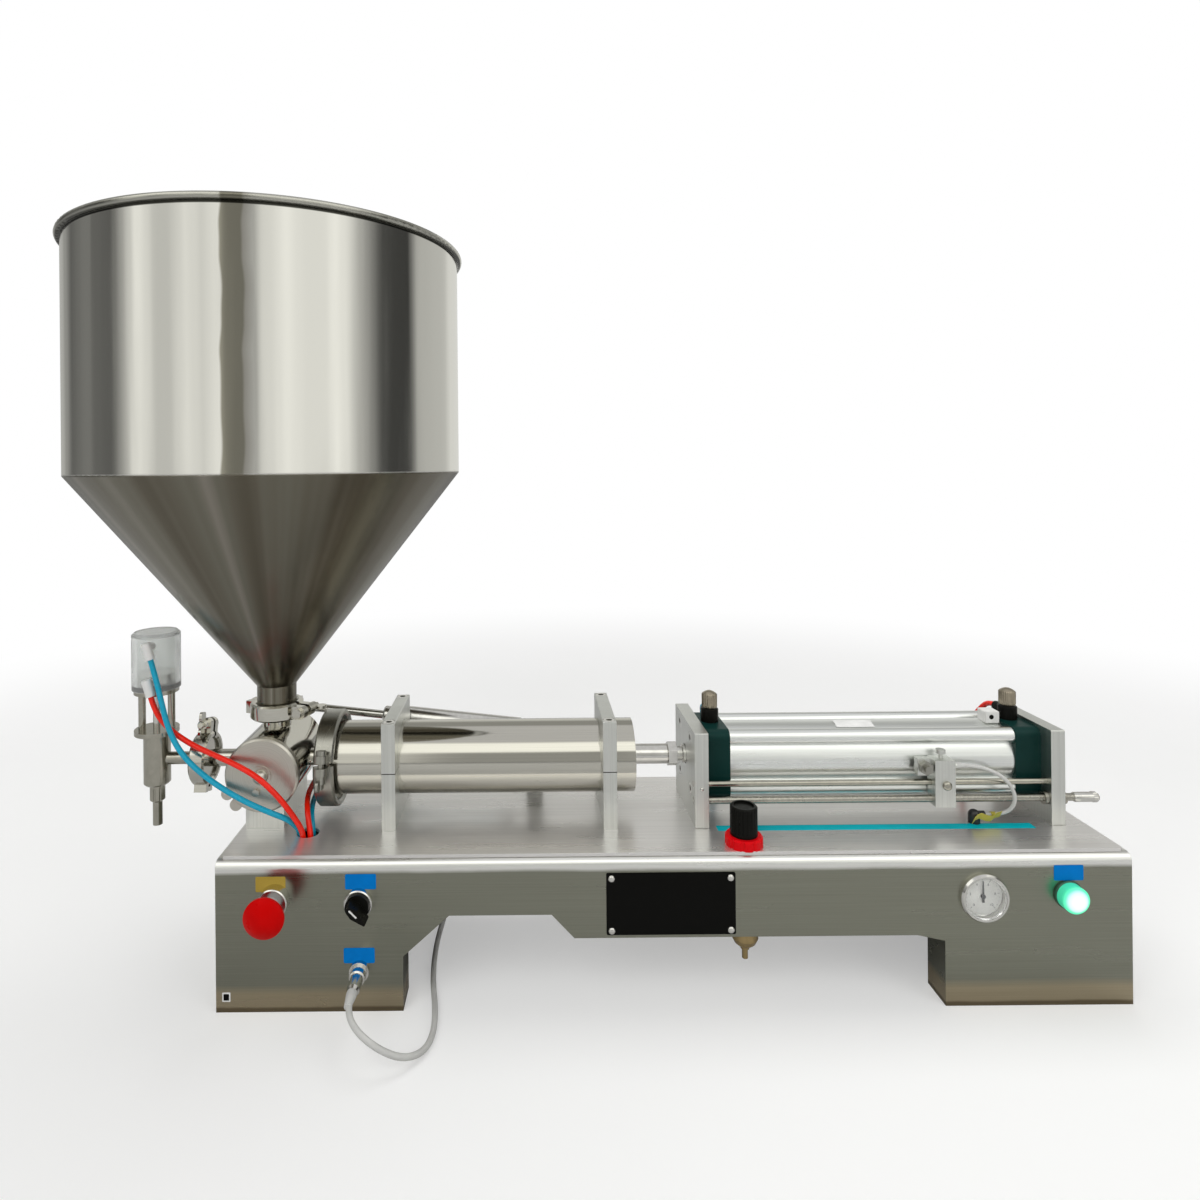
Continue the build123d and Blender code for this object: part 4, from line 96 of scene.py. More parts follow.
class Shader:
    """A node material that is built up from a few kinds of texture."""

    def __init__(self, name, colour, roughness, metallic=0.0):
        self.material = bpy.data.materials.new(name)
        self.material.use_nodes = True
        self.tree = self.material.node_tree
        self.surface = self.tree.nodes["Principled BSDF"]
        self.surface.inputs["Base Color"].default_value = (*colour, 1)
        self.surface.inputs["Roughness"].default_value = roughness
        self.surface.inputs["Metallic"].default_value = metallic
        self.colour = colour
        self.roughness = roughness
        self.coordinates = self.tree.nodes.new("ShaderNodeTexCoord").outputs["Object"]

    def node(self, kind, **inputs):
        made = self.tree.nodes.new(kind)
        for key, value in inputs.items():
            made.inputs[key.replace("_", " ")].default_value = value
        return made

    def link(self, output, target):
        self.tree.links.new(output, target)

    def axes(self):
        """X, Y and Z of the object coordinates."""
        split = self.tree.nodes.new("ShaderNodeSeparateXYZ")
        self.link(self.coordinates, split.inputs["Vector"])
        return split.outputs

    def sum(self, first, second):
        add = self.tree.nodes.new("ShaderNodeMath")
        add.operation = "ADD"
        self.link(first, add.inputs[0])
        self.link(second, add.inputs[1])
        return add.outputs[0]

    def above(self, value, limit):
        """1 where a value is over the limit and 0 elsewhere."""
        test = self.tree.nodes.new("ShaderNodeMath")
        test.operation = "GREATER_THAN"
        test.inputs[1].default_value = limit
        self.link(value, test.inputs[0])
        return test.outputs[0]

    def between(self, value, low, high):
        """0 at low and 1 at high along a value, and level beyond them."""
        spread = self.tree.nodes.new("ShaderNodeMapRange")
        spread.inputs["From Min"].default_value = low
        spread.inputs["From Max"].default_value = high
        self.link(value, spread.inputs["Value"])
        return spread.outputs["Result"]

    def stretched(self, stretch):
        """Object coordinates scaled along each axis, so that noise turns into streaks."""
        mapping = self.tree.nodes.new("ShaderNodeMapping")
        mapping.inputs["Scale"].default_value = stretch
        self.link(self.coordinates, mapping.inputs["Vector"])
        return mapping.outputs["Vector"]

    def noise(self, scale, detail=4.0, stretch=(1, 1, 1)):
        texture = self.node("ShaderNodeTexNoise", Scale=scale, Detail=detail, Roughness=0.6)
        self.link(self.stretched(stretch), texture.inputs["Vector"])
        return texture.outputs["Fac"]

    def ramp(self, value, *stops):
        """Colour stops (position, colour) along a value."""
        ramp = self.tree.nodes.new("ShaderNodeValToRGB")
        elements = ramp.color_ramp.elements
        while len(elements) < len(stops):
            elements.new(0.5)
        for element, (position, colour) in zip(elements, stops):
            element.position = position
            element.color = (*colour, 1)
        self.link(value, ramp.inputs["Fac"])
        return ramp.outputs["Color"]

    def scaled(self, value, low, high):
        """A noise value carried to the range low to high."""
        spread = self.tree.nodes.new("ShaderNodeMapRange")
        spread.inputs["From Min"].default_value = NOISE_LOW
        spread.inputs["From Max"].default_value = NOISE_HIGH
        spread.inputs["To Min"].default_value = low
        spread.inputs["To Max"].default_value = high
        self.link(value, spread.inputs["Value"])
        return spread.outputs["Result"]

    def tint(self, scale, amount, stretch=(1, 1, 1)):
        """Lighter and darker cloudy patches in the colour."""
        dark = tuple(c * (1 - amount) for c in self.colour)
        light = tuple(min(1, c * (1 + amount)) for c in self.colour)
        self.link(
            self.ramp(self.noise(scale, 5.0, stretch), (0.35, dark), (0.65, light)),
            self.surface.inputs["Base Color"],
        )
        return self

    def patchy(self, scale, amount, stretch=(1, 1, 1)):
        """Patches that are a little rougher or smoother."""
        low, high = max(0.02, self.roughness - amount), self.roughness + amount
        self.link(self.scaled(self.noise(scale, 3.0, stretch), low, high), self.surface.inputs["Roughness"])
        return self

    def bump(self, scale, depth, stretch=(1, 1, 1), detail=3.0, edge=0.0):
        """Fine relief, over edges rounded by the given radius."""
        bump = self.node("ShaderNodeBump", Strength=1.0, Distance=depth)
        self.link(self.noise(scale, detail, stretch), bump.inputs["Height"])
        if edge:
            bevel = self.tree.nodes.new("ShaderNodeBevel")
            bevel.samples = 4
            bevel.inputs["Radius"].default_value = edge
            self.link(bevel.outputs["Normal"], bump.inputs["Normal"])
        self.link(bump.outputs["Normal"], self.surface.inputs["Normal"])
        return self

    def set(self, **inputs):
        for key, value in inputs.items():
            self.surface.inputs[key.replace("_", " ")].default_value = value
        return self


# Waves of grain per metre along X, Y and Z
ALONG_X = (5, 900, 900)
ALONG_Z = (700, 700, 6)
NO_GRAIN = (150, 150, 150)


def metal(name, colour, roughness, grain, depth=0.000006, patch=0.05, edge=0.0004, tint=0.06, metallic=1.0):
    """Steel or aluminium with a grain that runs along one axis."""
    shader = Shader(name, colour, roughness, metallic)
    shader.tint(1, tint, grain)
    shader.patchy(1, patch, tuple(4 + 0.05 * g for g in grain))
    shader.bump(1, depth, grain, edge=edge)
    return shader.material


def plastic(name, colour, roughness, depth=0.00003, scale=900, shine=0.2, tint=0.05):
    shader = Shader(name, colour, roughness)
    shader.tint(60, tint).patchy(80, 0.05).bump(scale, depth, edge=0.0003)
    shader.set(Specular_IOR_Level=shine)
    return shader.material


deck_steel = metal("deck_steel", (0.80, 0.785, 0.77), 0.30, ALONG_X, tint=0.05, metallic=0.8)
polished_steel = metal("polished_steel", (0.58, 0.565, 0.51), 0.11, ALONG_X, depth=0.000003, tint=0.04)
dark_steel = metal("dark_steel", (0.42, 0.405, 0.35), 0.17, NO_GRAIN, depth=0.000004)
satin_steel = metal("satin_steel", (0.36, 0.355, 0.32), 0.30, NO_GRAIN, depth=0.000006)
bright_steel = metal("bright_steel", (0.68, 0.67, 0.64), 0.16, NO_GRAIN, depth=0.000005)
machined_aluminium = metal("machined_aluminium", (0.70, 0.71, 0.68), 0.36, ALONG_Z)
anodised_aluminium = metal("anodised_aluminium", (0.88, 0.90, 0.885), 0.30, ALONG_X)
nickel = metal("nickel", (0.40, 0.35, 0.27), 0.28, NO_GRAIN)
brass = metal("brass", (0.42, 0.31, 0.15), 0.30, NO_GRAIN)
green_paint = plastic("green_paint", (0.004, 0.030, 0.026), 0.36, shine=0.12)
white_plastic = plastic("white_plastic", (0.80, 0.80, 0.77), 0.35)
ptfe = plastic("ptfe", (0.86, 0.86, 0.84), 0.45)
black_plastic = plastic("black_plastic", (0.005, 0.005, 0.004), 0.32, shine=0.1)
black_rubber = plastic("black_rubber", (0.012, 0.012, 0.012), 0.65)
grey_plastic = plastic("grey_plastic", (0.42, 0.43, 0.43), 0.45)
red_plastic = plastic("red_plastic", (0.60, 0.001, 0.001), 0.32, shine=0.06)
ring_red = plastic("ring_red", (0.74, 0.002, 0.006), 0.34, shine=0.1)
needle_paint = plastic("needle_paint", (0.012, 0.012, 0.012), 0.4)
pedal_paint = plastic("pedal_paint", (0.035, 0.038, 0.042), 0.5, depth=0.0001, scale=500)
hose_blue = plastic("hose_blue", (0.003, 0.37, 0.56), 0.24, shine=0.4)
hose_red = plastic("hose_red", (0.93, 0.016, 0.003), 0.24, shine=0.4)
cable_grey = plastic("cable_grey", (0.60, 0.60, 0.575), 0.5)
dial_white = plastic("dial_white", (0.82, 0.81, 0.76), 0.5)
plate_black = plastic("plate_black", (0.004, 0.004, 0.0035), 0.5, shine=0.06)
label_yellow = plastic("label_yellow", (0.44, 0.31, 0.055), 0.5, shine=0.1)
label_blue = plastic("label_blue", (0.001, 0.19, 0.60), 0.5, shine=0.05)
film_cyan = plastic("film_cyan", (0.004, 0.50, 0.58), 0.5, shine=0.05)
tag_yellow = plastic("tag_yellow", (0.52, 0.45, 0.08), 0.45)
paper_white = plastic("paper_white", (0.80, 0.80, 0.78), 0.6)


def clear_plastic(name, colour, roughness, alpha):
    shader = Shader(name, colour, roughness)
    shader.tint(40, 0.03).bump(200, 0.00002)
    shader.set(Transmission_Weight=alpha, IOR=1.46)
    return shader.material


drive_plastic = clear_plastic("drive_plastic", (0.86, 0.88, 0.86), 0.12, 0.75)
gauge_glass = clear_plastic("gauge_glass", (0.96, 0.97, 0.97), 0.03, 0.95)

FINE_RELIEF = 0.000006
SOFT_EDGE = 0.0004
CABINET_TOP = 0.149
CABINET_BASE, CABINET_FOLD_HIGHLIGHT = (0.29, 0.293, 0.24), (0.92, 0.92, 0.89)
CABINET_FOOT, CABINET_RIM = (0.47, 0.40, 0.28), (0.21, 0.17, 0.11)


def cabinet_finish():
    """Brushed sheet, with a painted highlight along its top fold, lighter and warmer towards the feet and
    dark brown along the bottom edge.
    """
    shader = Shader("cabinet_steel", CABINET_BASE, 0.30, 1.0)
    level = shader.between(shader.axes()["Z"], 0.0, CABINET_TOP)
    wander = shader.scaled(shader.noise(1, 3.0, (9, 9, 3)), -0.009, 0.002)
    # Tone up the height: the near-white band at the top fold is a painted highlight.
    height = shader.ramp(
        shader.sum(level, wander),
        (0.0, CABINET_RIM), (0.02, CABINET_RIM), (0.035, CABINET_FOOT), (0.12, CABINET_FOOT),
        (0.18, CABINET_BASE), (0.93, CABINET_BASE), (0.955, CABINET_FOLD_HIGHLIGHT),
    )
    grain = shader.ramp(shader.noise(1, 5.0, ALONG_X), (0.35, (0.90, 0.90, 0.90)), (0.65, (1.0, 1.0, 1.0)))
    colour = mix_node(shader.tree, 1.0, height, grain, "MULTIPLY")
    shader.link(colour, shader.surface.inputs["Base Color"])
    shader.patchy(1, 0.05, tuple(4 + 0.05 * g for g in ALONG_X))
    shader.bump(1, FINE_RELIEF, ALONG_X, edge=SOFT_EDGE)
    return shader.material


SEAM_LEVEL = 0.5457
SEAM_HALF = 0.0005
HOPPER_TOP = 0.7955
HOPPER_PLACE = (-0.436, 0.009, 0)
HOPPER_COLOUR = (0.80, 0.79, 0.75)
WELD_TURN = -81.5         # degrees from +X round the hopper
WELD_REACH = 0.026        # half of the stretch that the painted dark reflection down the weld lies in
WELD_DARK_REFLECTION, WELD_REFLECTION_EDGE = (0.34, 0.325, 0.27), (0.55, 0.53, 0.49)
CONE_ROUGHNESS = 0.24
RIM_SHADE, RIM_LIGHT = (0.08, 0.08, 0.07), (0.60, 0.60, 0.57)


def hopper_finish():
    """Brushed wall and duller cone, with a painted dark reflection down the upright weld, the cone painted
    darker as shade over its grain streaks, and painted shadow under the rim's bead.
    """
    shader = Shader("hopper_steel", HOPPER_COLOUR, 0.11, 1.0)
    shader.patchy(1, 0.05, (50, 50, 4))
    height = shader.axes()["Z"]
    level = shader.between(height, SEAM_LEVEL - SEAM_HALF, SEAM_LEVEL + SEAM_HALF)
    centred = shader.tree.nodes.new("ShaderNodeMapping")
    centred.vector_type = "TEXTURE"
    centred.inputs["Location"].default_value = HOPPER_PLACE
    centred.inputs["Rotation"].default_value = (0, 0, math.radians(WELD_TURN))
    shader.link(shader.coordinates, centred.inputs["Vector"])
    turned = shader.tree.nodes.new("ShaderNodeSeparateXYZ")
    shader.link(centred.outputs["Vector"], turned.inputs["Vector"])
    wander = shader.scaled(shader.noise(1, 2.0, (0, 0, 9)), -0.004, 0.004)
    side = shader.sum(turned.outputs["Y"], wander)
    # Painted reflection: a dark band with a lighter edge down the upright weld, on the front half of the
    # hopper.
    strip = shader.ramp(
        shader.between(side, -WELD_REACH, WELD_REACH),
        (0.0, HOPPER_COLOUR), (0.29, HOPPER_COLOUR), (0.33, WELD_DARK_REFLECTION), (0.66, WELD_DARK_REFLECTION),
        (0.70, WELD_REFLECTION_EDGE), (0.85, HOPPER_COLOUR), (1.0, HOPPER_COLOUR),
    )
    wall = mix_node(shader.tree, shader.above(turned.outputs["X"], 0.0), (*HOPPER_COLOUR, 1), strip)
    flat = shader.tree.nodes.new("ShaderNodeVectorMath")
    flat.operation = "MULTIPLY"
    flat.inputs[1].default_value = (1, 1, 0)
    shader.link(centred.outputs["Vector"], flat.inputs[0])
    round_axis = shader.tree.nodes.new("ShaderNodeVectorMath")
    round_axis.operation = "NORMALIZE"
    shader.link(flat.outputs[0], round_axis.inputs[0])
    streaks = shader.node("ShaderNodeTexNoise", Scale=3.2, Detail=3.0, Roughness=0.55)
    shader.link(round_axis.outputs[0], streaks.inputs["Vector"])
    # Painted shade: the cone's colour is far darker than the wall's steel, in radial streaks of its grain.
    cone = shader.ramp(
        streaks.outputs["Fac"],
        (0.30, (0.105, 0.088, 0.062)), (0.50, (0.18, 0.165, 0.13)),
        (0.60, (0.22, 0.21, 0.17)), (0.70, (0.34, 0.31, 0.27)),
    )
    shade = shader.ramp(
        shader.between(height, HOPPER_TOP - 0.015, HOPPER_TOP + 0.005),
        (0.0, (1, 1, 1)), (0.27, (1, 1, 1)), (0.31, RIM_SHADE), (0.41, RIM_SHADE), (0.46, RIM_LIGHT),
    )
    colour = mix_node(shader.tree, 1.0, mix_node(shader.tree, level, cone, wall), shade, "MULTIPLY")
    shader.link(colour, shader.surface.inputs["Base Color"])
    smooth = shader.surface.inputs["Roughness"].links[0].from_socket
    dull = shader.tree.nodes.new("ShaderNodeMix")
    dull.inputs[2].default_value = CONE_ROUGHNESS
    shader.link(level, dull.inputs[0])
    shader.link(smooth, dull.inputs[3])
    shader.link(dull.outputs[0], shader.surface.inputs["Roughness"])
    shader.bump(1, 0.0004, (38, 38, 1.4), detail=1.5, edge=0.002)
    return shader.material


LAMP_CENTRE = (0.400, -0.116, 0.112)


def lit_lens():
    """Green lens with a light behind it, brightest in the middle."""
    shader = Shader("lit_lens", (0.10, 0.62, 0.36), 0.25)
    shader.bump(300, 0.00004)
    offset = shader.node("ShaderNodeVectorMath")
    offset.operation = "DISTANCE"
    shader.link(shader.coordinates, offset.inputs[0])
    offset.inputs[1].default_value = LAMP_CENTRE
    glow = shader.ramp(
        shader.between(offset.outputs["Value"], 0.004, 0.015),
        (0.0, (1.0, 1.0, 0.96)), (0.45, (0.75, 1.0, 0.85)),
        (0.75, (0.08, 0.70, 0.38)), (1.0, (0.0, 0.28, 0.16)),
    )
    shader.link(glow, shader.surface.inputs["Emission Color"])
    shader.set(Emission_Strength=1.0)
    return shader.material


def by_place(name, axis, limit, low, high):
    """One finish (colour, roughness, metallic) below a limit along an axis and another above."""
    shader = Shader(name, low[0], low[1])
    above = shader.above(shader.axes()[axis], limit)
    shader.link(shader.ramp(above, (0.0, low[0]), (1.0, high[0])), shader.surface.inputs["Base Color"])
    for socket, below, beyond in (("Roughness", low[1], high[1]), ("Metallic", low[2], high[2])):
        spread = shader.tree.nodes.new("ShaderNodeMapRange")
        spread.inputs["To Min"].default_value = below
        spread.inputs["To Max"].default_value = beyond
        shader.link(above, spread.inputs["Value"])
        shader.link(spread.outputs["Result"], shader.surface.inputs[socket])
    shader.bump(700, 0.00003, edge=0.0003)
    return shader.material


COVER_CENTRE = (-0.436, 0, 0.218)


def turned_finish():
    """Steel with the fine rings that a lathe leaves on a cover."""
    shader = Shader("turned_steel", (0.60, 0.575, 0.52), 0.36, 1.0)
    shader.patchy(60, 0.05)
    flat = shader.tree.nodes.new("ShaderNodeVectorMath")
    flat.operation = "MULTIPLY"
    shader.link(shader.coordinates, flat.inputs[0])
    flat.inputs[1].default_value = (1, 0, 1)
    reach = shader.tree.nodes.new("ShaderNodeVectorMath")
    reach.operation = "DISTANCE"
    shader.link(flat.outputs[0], reach.inputs[0])
    reach.inputs[1].default_value = COVER_CENTRE
    rings = shader.node("ShaderNodeTexNoise", Scale=1800.0, Detail=2.0)
    rings.noise_dimensions = "1D"
    shader.link(reach.outputs["Value"], rings.inputs["W"])
    tone = shader.ramp(rings.outputs["Fac"], (0.3, (0.52, 0.50, 0.45)), (0.7, (0.66, 0.63, 0.57)))
    shader.link(tone, shader.surface.inputs["Base Color"])
    relief = shader.node("ShaderNodeBump", Strength=1.0, Distance=0.00001)
    shader.link(rings.outputs["Fac"], relief.inputs["Height"])
    shader.link(relief.outputs["Normal"], shader.surface.inputs["Normal"])
    return shader.material


def threaded_finish():
    """Steel with the ridges of a fine thread along X."""
    shader = Shader("threaded_steel", (0.42, 0.405, 0.36), 0.24, 1.0)
    shader.tint(300, 0.1).patchy(200, 0.05)
    ridges = shader.node("ShaderNodeTexWave", Scale=209.0, Distortion=0.4, Detail=1.0)
    shader.link(shader.coordinates, ridges.inputs["Vector"])
    relief = shader.node("ShaderNodeBump", Strength=1.0, Distance=0.0002)
    shader.link(ridges.outputs["Fac"], relief.inputs["Height"])
    shader.link(relief.outputs["Normal"], shader.surface.inputs["Normal"])
    return shader.material


SPLIT_LEVEL = 0.218
SPLIT_HALF = 0.0005
SPLIT_COLOUR = (0.05, 0.05, 0.045, 1)


def saddle_finish():
    """Machined aluminium with the dark joint between a saddle and its cap."""
    shader = Shader("saddle_aluminium", (0.70, 0.71, 0.68), 0.36, 1.0)
    shader.patchy(1, 0.05, tuple(4 + 0.05 * g for g in ALONG_Z))
    joint = shader.tree.nodes.new("ShaderNodeMath")
    joint.operation = "COMPARE"
    joint.inputs[1].default_value = SPLIT_LEVEL
    joint.inputs[2].default_value = SPLIT_HALF
    shader.link(shader.axes()["Z"], joint.inputs[0])
    grain = shader.ramp(shader.noise(1, 5.0, ALONG_Z), (0.35, (0.66, 0.67, 0.64)), (0.65, (0.74, 0.75, 0.72)))
    colour = mix_node(shader.tree, joint.outputs[0], grain, SPLIT_COLOUR)
    shader.link(colour, shader.surface.inputs["Base Color"])
    shader.bump(1, FINE_RELIEF, ALONG_Z, edge=SOFT_EDGE)
    return shader.material


fitting_finish = by_place(
    "fitting_finish", "X", -0.5, ((0.78, 0.78, 0.76), 0.35, 0.0), ((0.02, 0.02, 0.02), 0.35, 0.0)
)
collar_finish = by_place(
    "collar_finish", "X", 0.0, ((0.74, 0.73, 0.70), 0.2, 1.0), ((0.02, 0.09, 0.05), 0.3, 0.0)
)


def dress(material, *names):
    for name in names:
        for slot in nodes[name].material_slots:
            slot.material = material


dress(cabinet_finish(), "chassis")
dress(deck_steel, "deck_plate")
dress(polished_steel, "pump_tube", "valve_body", "pipe_clamps")
dress(dark_steel, "nozzle_body", "guide_rod")
dress(threaded_finish(), "lead_screw")
dress(satin_steel, "pump_clamp", "reed_sensor")
dress(turned_finish(), "valve_cover")
dress(hopper_finish(), "hopper", "hopper_cone", "hopper_neck")
dress(bright_steel, "piston_rod", "air_rod", "nozzle_needle")
dress(bright_steel, "actuator_barrel", "actuator_rod", "gauge_case", "socket_screws")
dress(bright_steel, "pedal_socket", "pedal_plug")
dress(saddle_finish(), "deck_supports")
dress(machined_aluminium, "end_plates", "sensor_carriage")
dress(machined_aluminium, "valve_lever", "valve_block")
dress(anodised_aluminium, "air_barrel")
dress(green_paint, "air_caps")
dress(brass, "regulator_body")
dress(nickel, "front_flow_knob", "rear_flow_knob")
dress(ptfe, "valve_rotor", "product_piston")
dress(black_rubber, "piston_seals")
dress(black_plastic, "flow_controls", "selector_knob", "regulator_knob", "power_inlet")
dress(fitting_finish, "push_fittings")
dress(collar_finish, "panel_devices")
dress(grey_plastic, "estop_stem")
dress(red_plastic, "estop_head")
dress(ring_red, "panel_ring")
dress(drive_plastic, "nozzle_drive")
dress(gauge_glass, "gauge_lens")
dress(needle_paint, "gauge_needle")
dress(pedal_paint, "pedal_base", "pedal_treadle")
dress(lit_lens(), "lamp_lens")

# Hoses and cables: control points of smooth curves, from exit to end

HOSE_DIAMETER = 0.006
SENSOR_CABLE_DIAMETER = 0.004

NOZZLE_BLUE = [
    (-0.5644, -0.0270, 0.3405), (-0.5584, -0.0270, 0.3194), (-0.5495, -0.0330, 0.2940),
    (-0.5410, -0.0360, 0.2660), (-0.5240, -0.0420, 0.2400), (-0.4940, -0.0490, 0.2170),
    (-0.4540, -0.0580, 0.1975), (-0.4210, -0.0620, 0.1850), (-0.4010, -0.0550, 0.1735),
    (-0.3915, -0.0435, 0.1520), (-0.3915, -0.0435, 0.1280),
]
NOZZLE_RED = [
    (-0.5644, -0.0270, 0.2995), (-0.5592, -0.0270, 0.2812), (-0.5430, -0.0270, 0.2620),
    (-0.5170, -0.0330, 0.2480), (-0.4880, -0.0430, 0.2400), (-0.4600, -0.0560, 0.2345),
    (-0.4330, -0.0660, 0.2250), (-0.4110, -0.0670, 0.2045), (-0.3975, -0.0620, 0.1825),
    (-0.3900, -0.0545, 0.1640), (-0.3890, -0.0520, 0.1520), (-0.3890, -0.0520, 0.1280),
]
ACTUATOR_BLUE = [
    (-0.1829, 0.0820, 0.2044), (-0.2077, 0.0820, 0.2073), (-0.2380, 0.0830, 0.2090),
    (-0.2690, 0.0830, 0.2000), (-0.3010, 0.0830, 0.1935), (-0.3330, 0.0820, 0.1900),
    (-0.3610, 0.0760, 0.1870), (-0.3830, 0.0600, 0.1810), (-0.3910, 0.0360, 0.1780),
    (-0.3920, 0.0070, 0.1755), (-0.3890, -0.0200, 0.1720), (-0.3850, -0.0335, 0.1645),
    (-0.3815, -0.0405, 0.1520), (-0.3815, -0.0405, 0.1280),
]
ACTUATOR_RED = [
    (-0.3041, 0.0820, 0.2182), (-0.3240, 0.0820, 0.2205), (-0.3480, 0.0820, 0.2170),
    (-0.3710, 0.0800, 0.2030), (-0.3880, 0.0640, 0.1920), (-0.3945, 0.0380, 0.1880),
    (-0.3955, 0.0080, 0.1870), (-0.3940, -0.0200, 0.1840), (-0.3870, -0.0430, 0.1730),
    (-0.3810, -0.0505, 0.1520), (-0.3810, -0.0505, 0.1280),
]
CYLINDER_BLUE = [
    (0.0634, 0.0310, 0.2635), (0.0634, 0.0450, 0.2635), (0.0660, 0.0580, 0.2510),
    (0.0696, 0.0690, 0.2360), (0.0749, 0.0750, 0.2185), (0.0789, 0.0730, 0.1975),
    (0.0814, 0.0720, 0.1840), (0.0814, 0.0720, 0.1700),
]
CYLINDER_RED = [
    (0.4074, 0.0310, 0.2635), (0.4074, 0.0450, 0.2635), (0.4048, 0.0580, 0.2510),
    (0.4012, 0.0690, 0.2360), (0.3959, 0.0750, 0.2185), (0.3919, 0.0730, 0.1975),
    (0.3894, 0.0720, 0.1840), (0.3894, 0.0720, 0.1700),
]
SENSOR_CABLE = [
    (0.3229, -0.0360, 0.2185), (0.3399, -0.0360, 0.2185), (0.3570, -0.0420, 0.2160),
    (0.3730, -0.0470, 0.2060), (0.3810, -0.0480, 0.1890), (0.3795, -0.0430, 0.1730),
    (0.3695, -0.0360, 0.1646), (0.3530, -0.0360, 0.1646),
]
PEDAL_CABLE = [
    (-0.3190, -0.1350, 0.0420), (-0.3190, -0.1570, 0.0420), (-0.3070, -0.1770, 0.0370),
    (-0.2850, -0.1870, 0.0270), (-0.2630, -0.1820, 0.0140), (-0.2470, -0.1640, 0.0055),
    (-0.2400, -0.1390, 0.0036), (-0.2420, -0.1040, 0.0035), (-0.2510, -0.0550, 0.0035),
    (-0.2540, 0.0000, 0.0036), (-0.2510, 0.0550, 0.0035), (-0.2470, 0.1000, 0.0036),
    (-0.2380, 0.1380, 0.0035), (-0.2305, 0.1720, 0.0036),
]
COIL_CENTRE = (-0.262, 0.202)
COIL_TURNS = 5.25
COIL_STEPS = 14
COIL_LEVELS = [(0.0, 0.0330, 0.0035), (0.3, 0.0300, 0.0035), (0.9, 0.0298, 0.0038), (1.1, 0.0298, 0.0098)]
COIL_LEVELS += [(1.9, 0.0298, 0.0101), (2.1, 0.0298, 0.0163), (2.9, 0.0298, 0.0165), (3.2, 0.0363, 0.0165)]
COIL_LEVELS += [(4.0, 0.0363, 0.0163), (4.3, 0.0363, 0.0100), (5.0, 0.0363, 0.0096), (5.25, 0.0335, 0.0082)]
PEDAL_LEAD = [(-0.2850, 0.2350, 0.0080), (-0.3080, 0.2350, 0.0080)]


def coil_level(turn):
    """Radius and height of the coil after so many turns."""
    for (a, ra, za), (b, rb, zb) in zip(COIL_LEVELS, COIL_LEVELS[1:]):
        if turn <= b + 1e-9:
            t = (turn - a) / (b - a)
            return ra + (rb - ra) * t, za + (zb - za) * t
    return COIL_LEVELS[-1][1:]


def coil_points():
    points = []
    for step in range(int(COIL_TURNS * COIL_STEPS) + 1):
        turn = step / COIL_STEPS
        radius, height = coil_level(turn)
        angle = turn * math.tau
        x = COIL_CENTRE[0] + radius * math.cos(angle)
        y = COIL_CENTRE[1] + radius * math.sin(angle)
        points.append((x, y, height))
    return points


# Meshes

SHARP_ANGLE = math.radians(35)
TUBE_SIDES = 20
SCREW_SIDES = 20


def skin(bm, rings):
    """Faces between rings of equally many vertices, with both ends closed."""
    count = len(rings[0])
    for lower, upper in zip(rings, rings[1:]):
        for step in range(count):
            after = (step + 1) % count
            bm.faces.new((lower[step], lower[after], upper[after], upper[step]))
    bm.faces.new(rings[0][::-1])
    bm.faces.new(rings[-1])


def add_mesh(name, bm, material, body="machine", smooth=False):
    """A piece from a finished bmesh. Without a body, it is left unattached."""
    mesh = bpy.data.meshes.new(name)
    bm.to_mesh(mesh)
    bm.free()
    mesh.materials.append(material)
    for face in mesh.polygons:
        face.use_smooth = smooth
    if smooth:
        mesh.set_sharp_from_angle(angle=SHARP_ANGLE)
    piece = bpy.data.objects.new(name, mesh)
    bpy.context.collection.objects.link(piece)
    if body:
        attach(piece, body)
    return piece


def lathe(name, profile, centre, way, material, body="machine", sides=48, ribs=0, depth=0.0):
    """A turned piece from (radius, height) pairs, with upright ribs round its widest part."""
    bm = bmesh.new()
    widest = max(radius for radius, height in profile)
    rings = []
    for radius, height in profile:
        cut = depth if radius > 0.95 * widest else 0.0
        ring = []
        for step in range(sides):
            angle = step * math.tau / sides
            reach = radius - cut * (0.5 + 0.5 * math.cos(ribs * angle))
            ring.append(bm.verts.new((reach * math.cos(angle), reach * math.sin(angle), height)))
        rings.append(ring)
    skin(bm, rings)
    turn = Vector((0, 0, 1)).rotation_difference(Vector(way)).to_matrix().to_4x4()
    bm.transform(Matrix.Translation(centre) @ turn)
    return add_mesh(name, bm, material, body, smooth=True)


def smooth_line(name, points):
    """A smooth curve on the given control points."""
    curve = bpy.data.curves.new(name + "_curve", "CURVE")
    curve.dimensions = "3D"
    curve.resolution_u = 10
    spline = curve.splines.new("NURBS")
    spline.points.add(len(points) - 1)
    for place, point in zip(points, spline.points):
        point.co = (*place, 1)
    spline.order_u = 3
    spline.use_endpoint_u = True
    return curve


def add_tube(name, points, diameter, material, bodies, start, end, **facts):
    """A cable as a mesh tube on its smooth line, which takes its CAD solid's place."""
    route = bpy.data.objects.new(name + "_route", smooth_line(name, points))
    line = [Vector(vertex.co) for vertex in bpy.data.meshes.new_from_object(route).vertices]
    bpy.data.objects.remove(route)
    bm = bmesh.new()
    side = Vector((0, 1, 0))
    rings = []
    for index, point in enumerate(line):
        ahead = (line[min(index + 1, len(line) - 1)] - line[max(index - 1, 0)]).normalized()
        side = (side - ahead * side.dot(ahead)).normalized()
        up = ahead.cross(side)
        ring = []
        for step in range(TUBE_SIDES):
            angle = step * math.tau / TUBE_SIDES
            ring.append(bm.verts.new(point + (side * math.cos(angle) + up * math.sin(angle)) * diameter / 2))
        rings.append(ring)
    skin(bm, rings)
    tube = add_mesh(name + "_line", bm, material, None, smooth=True)
    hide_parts(name)
    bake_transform(tube)
    return tube


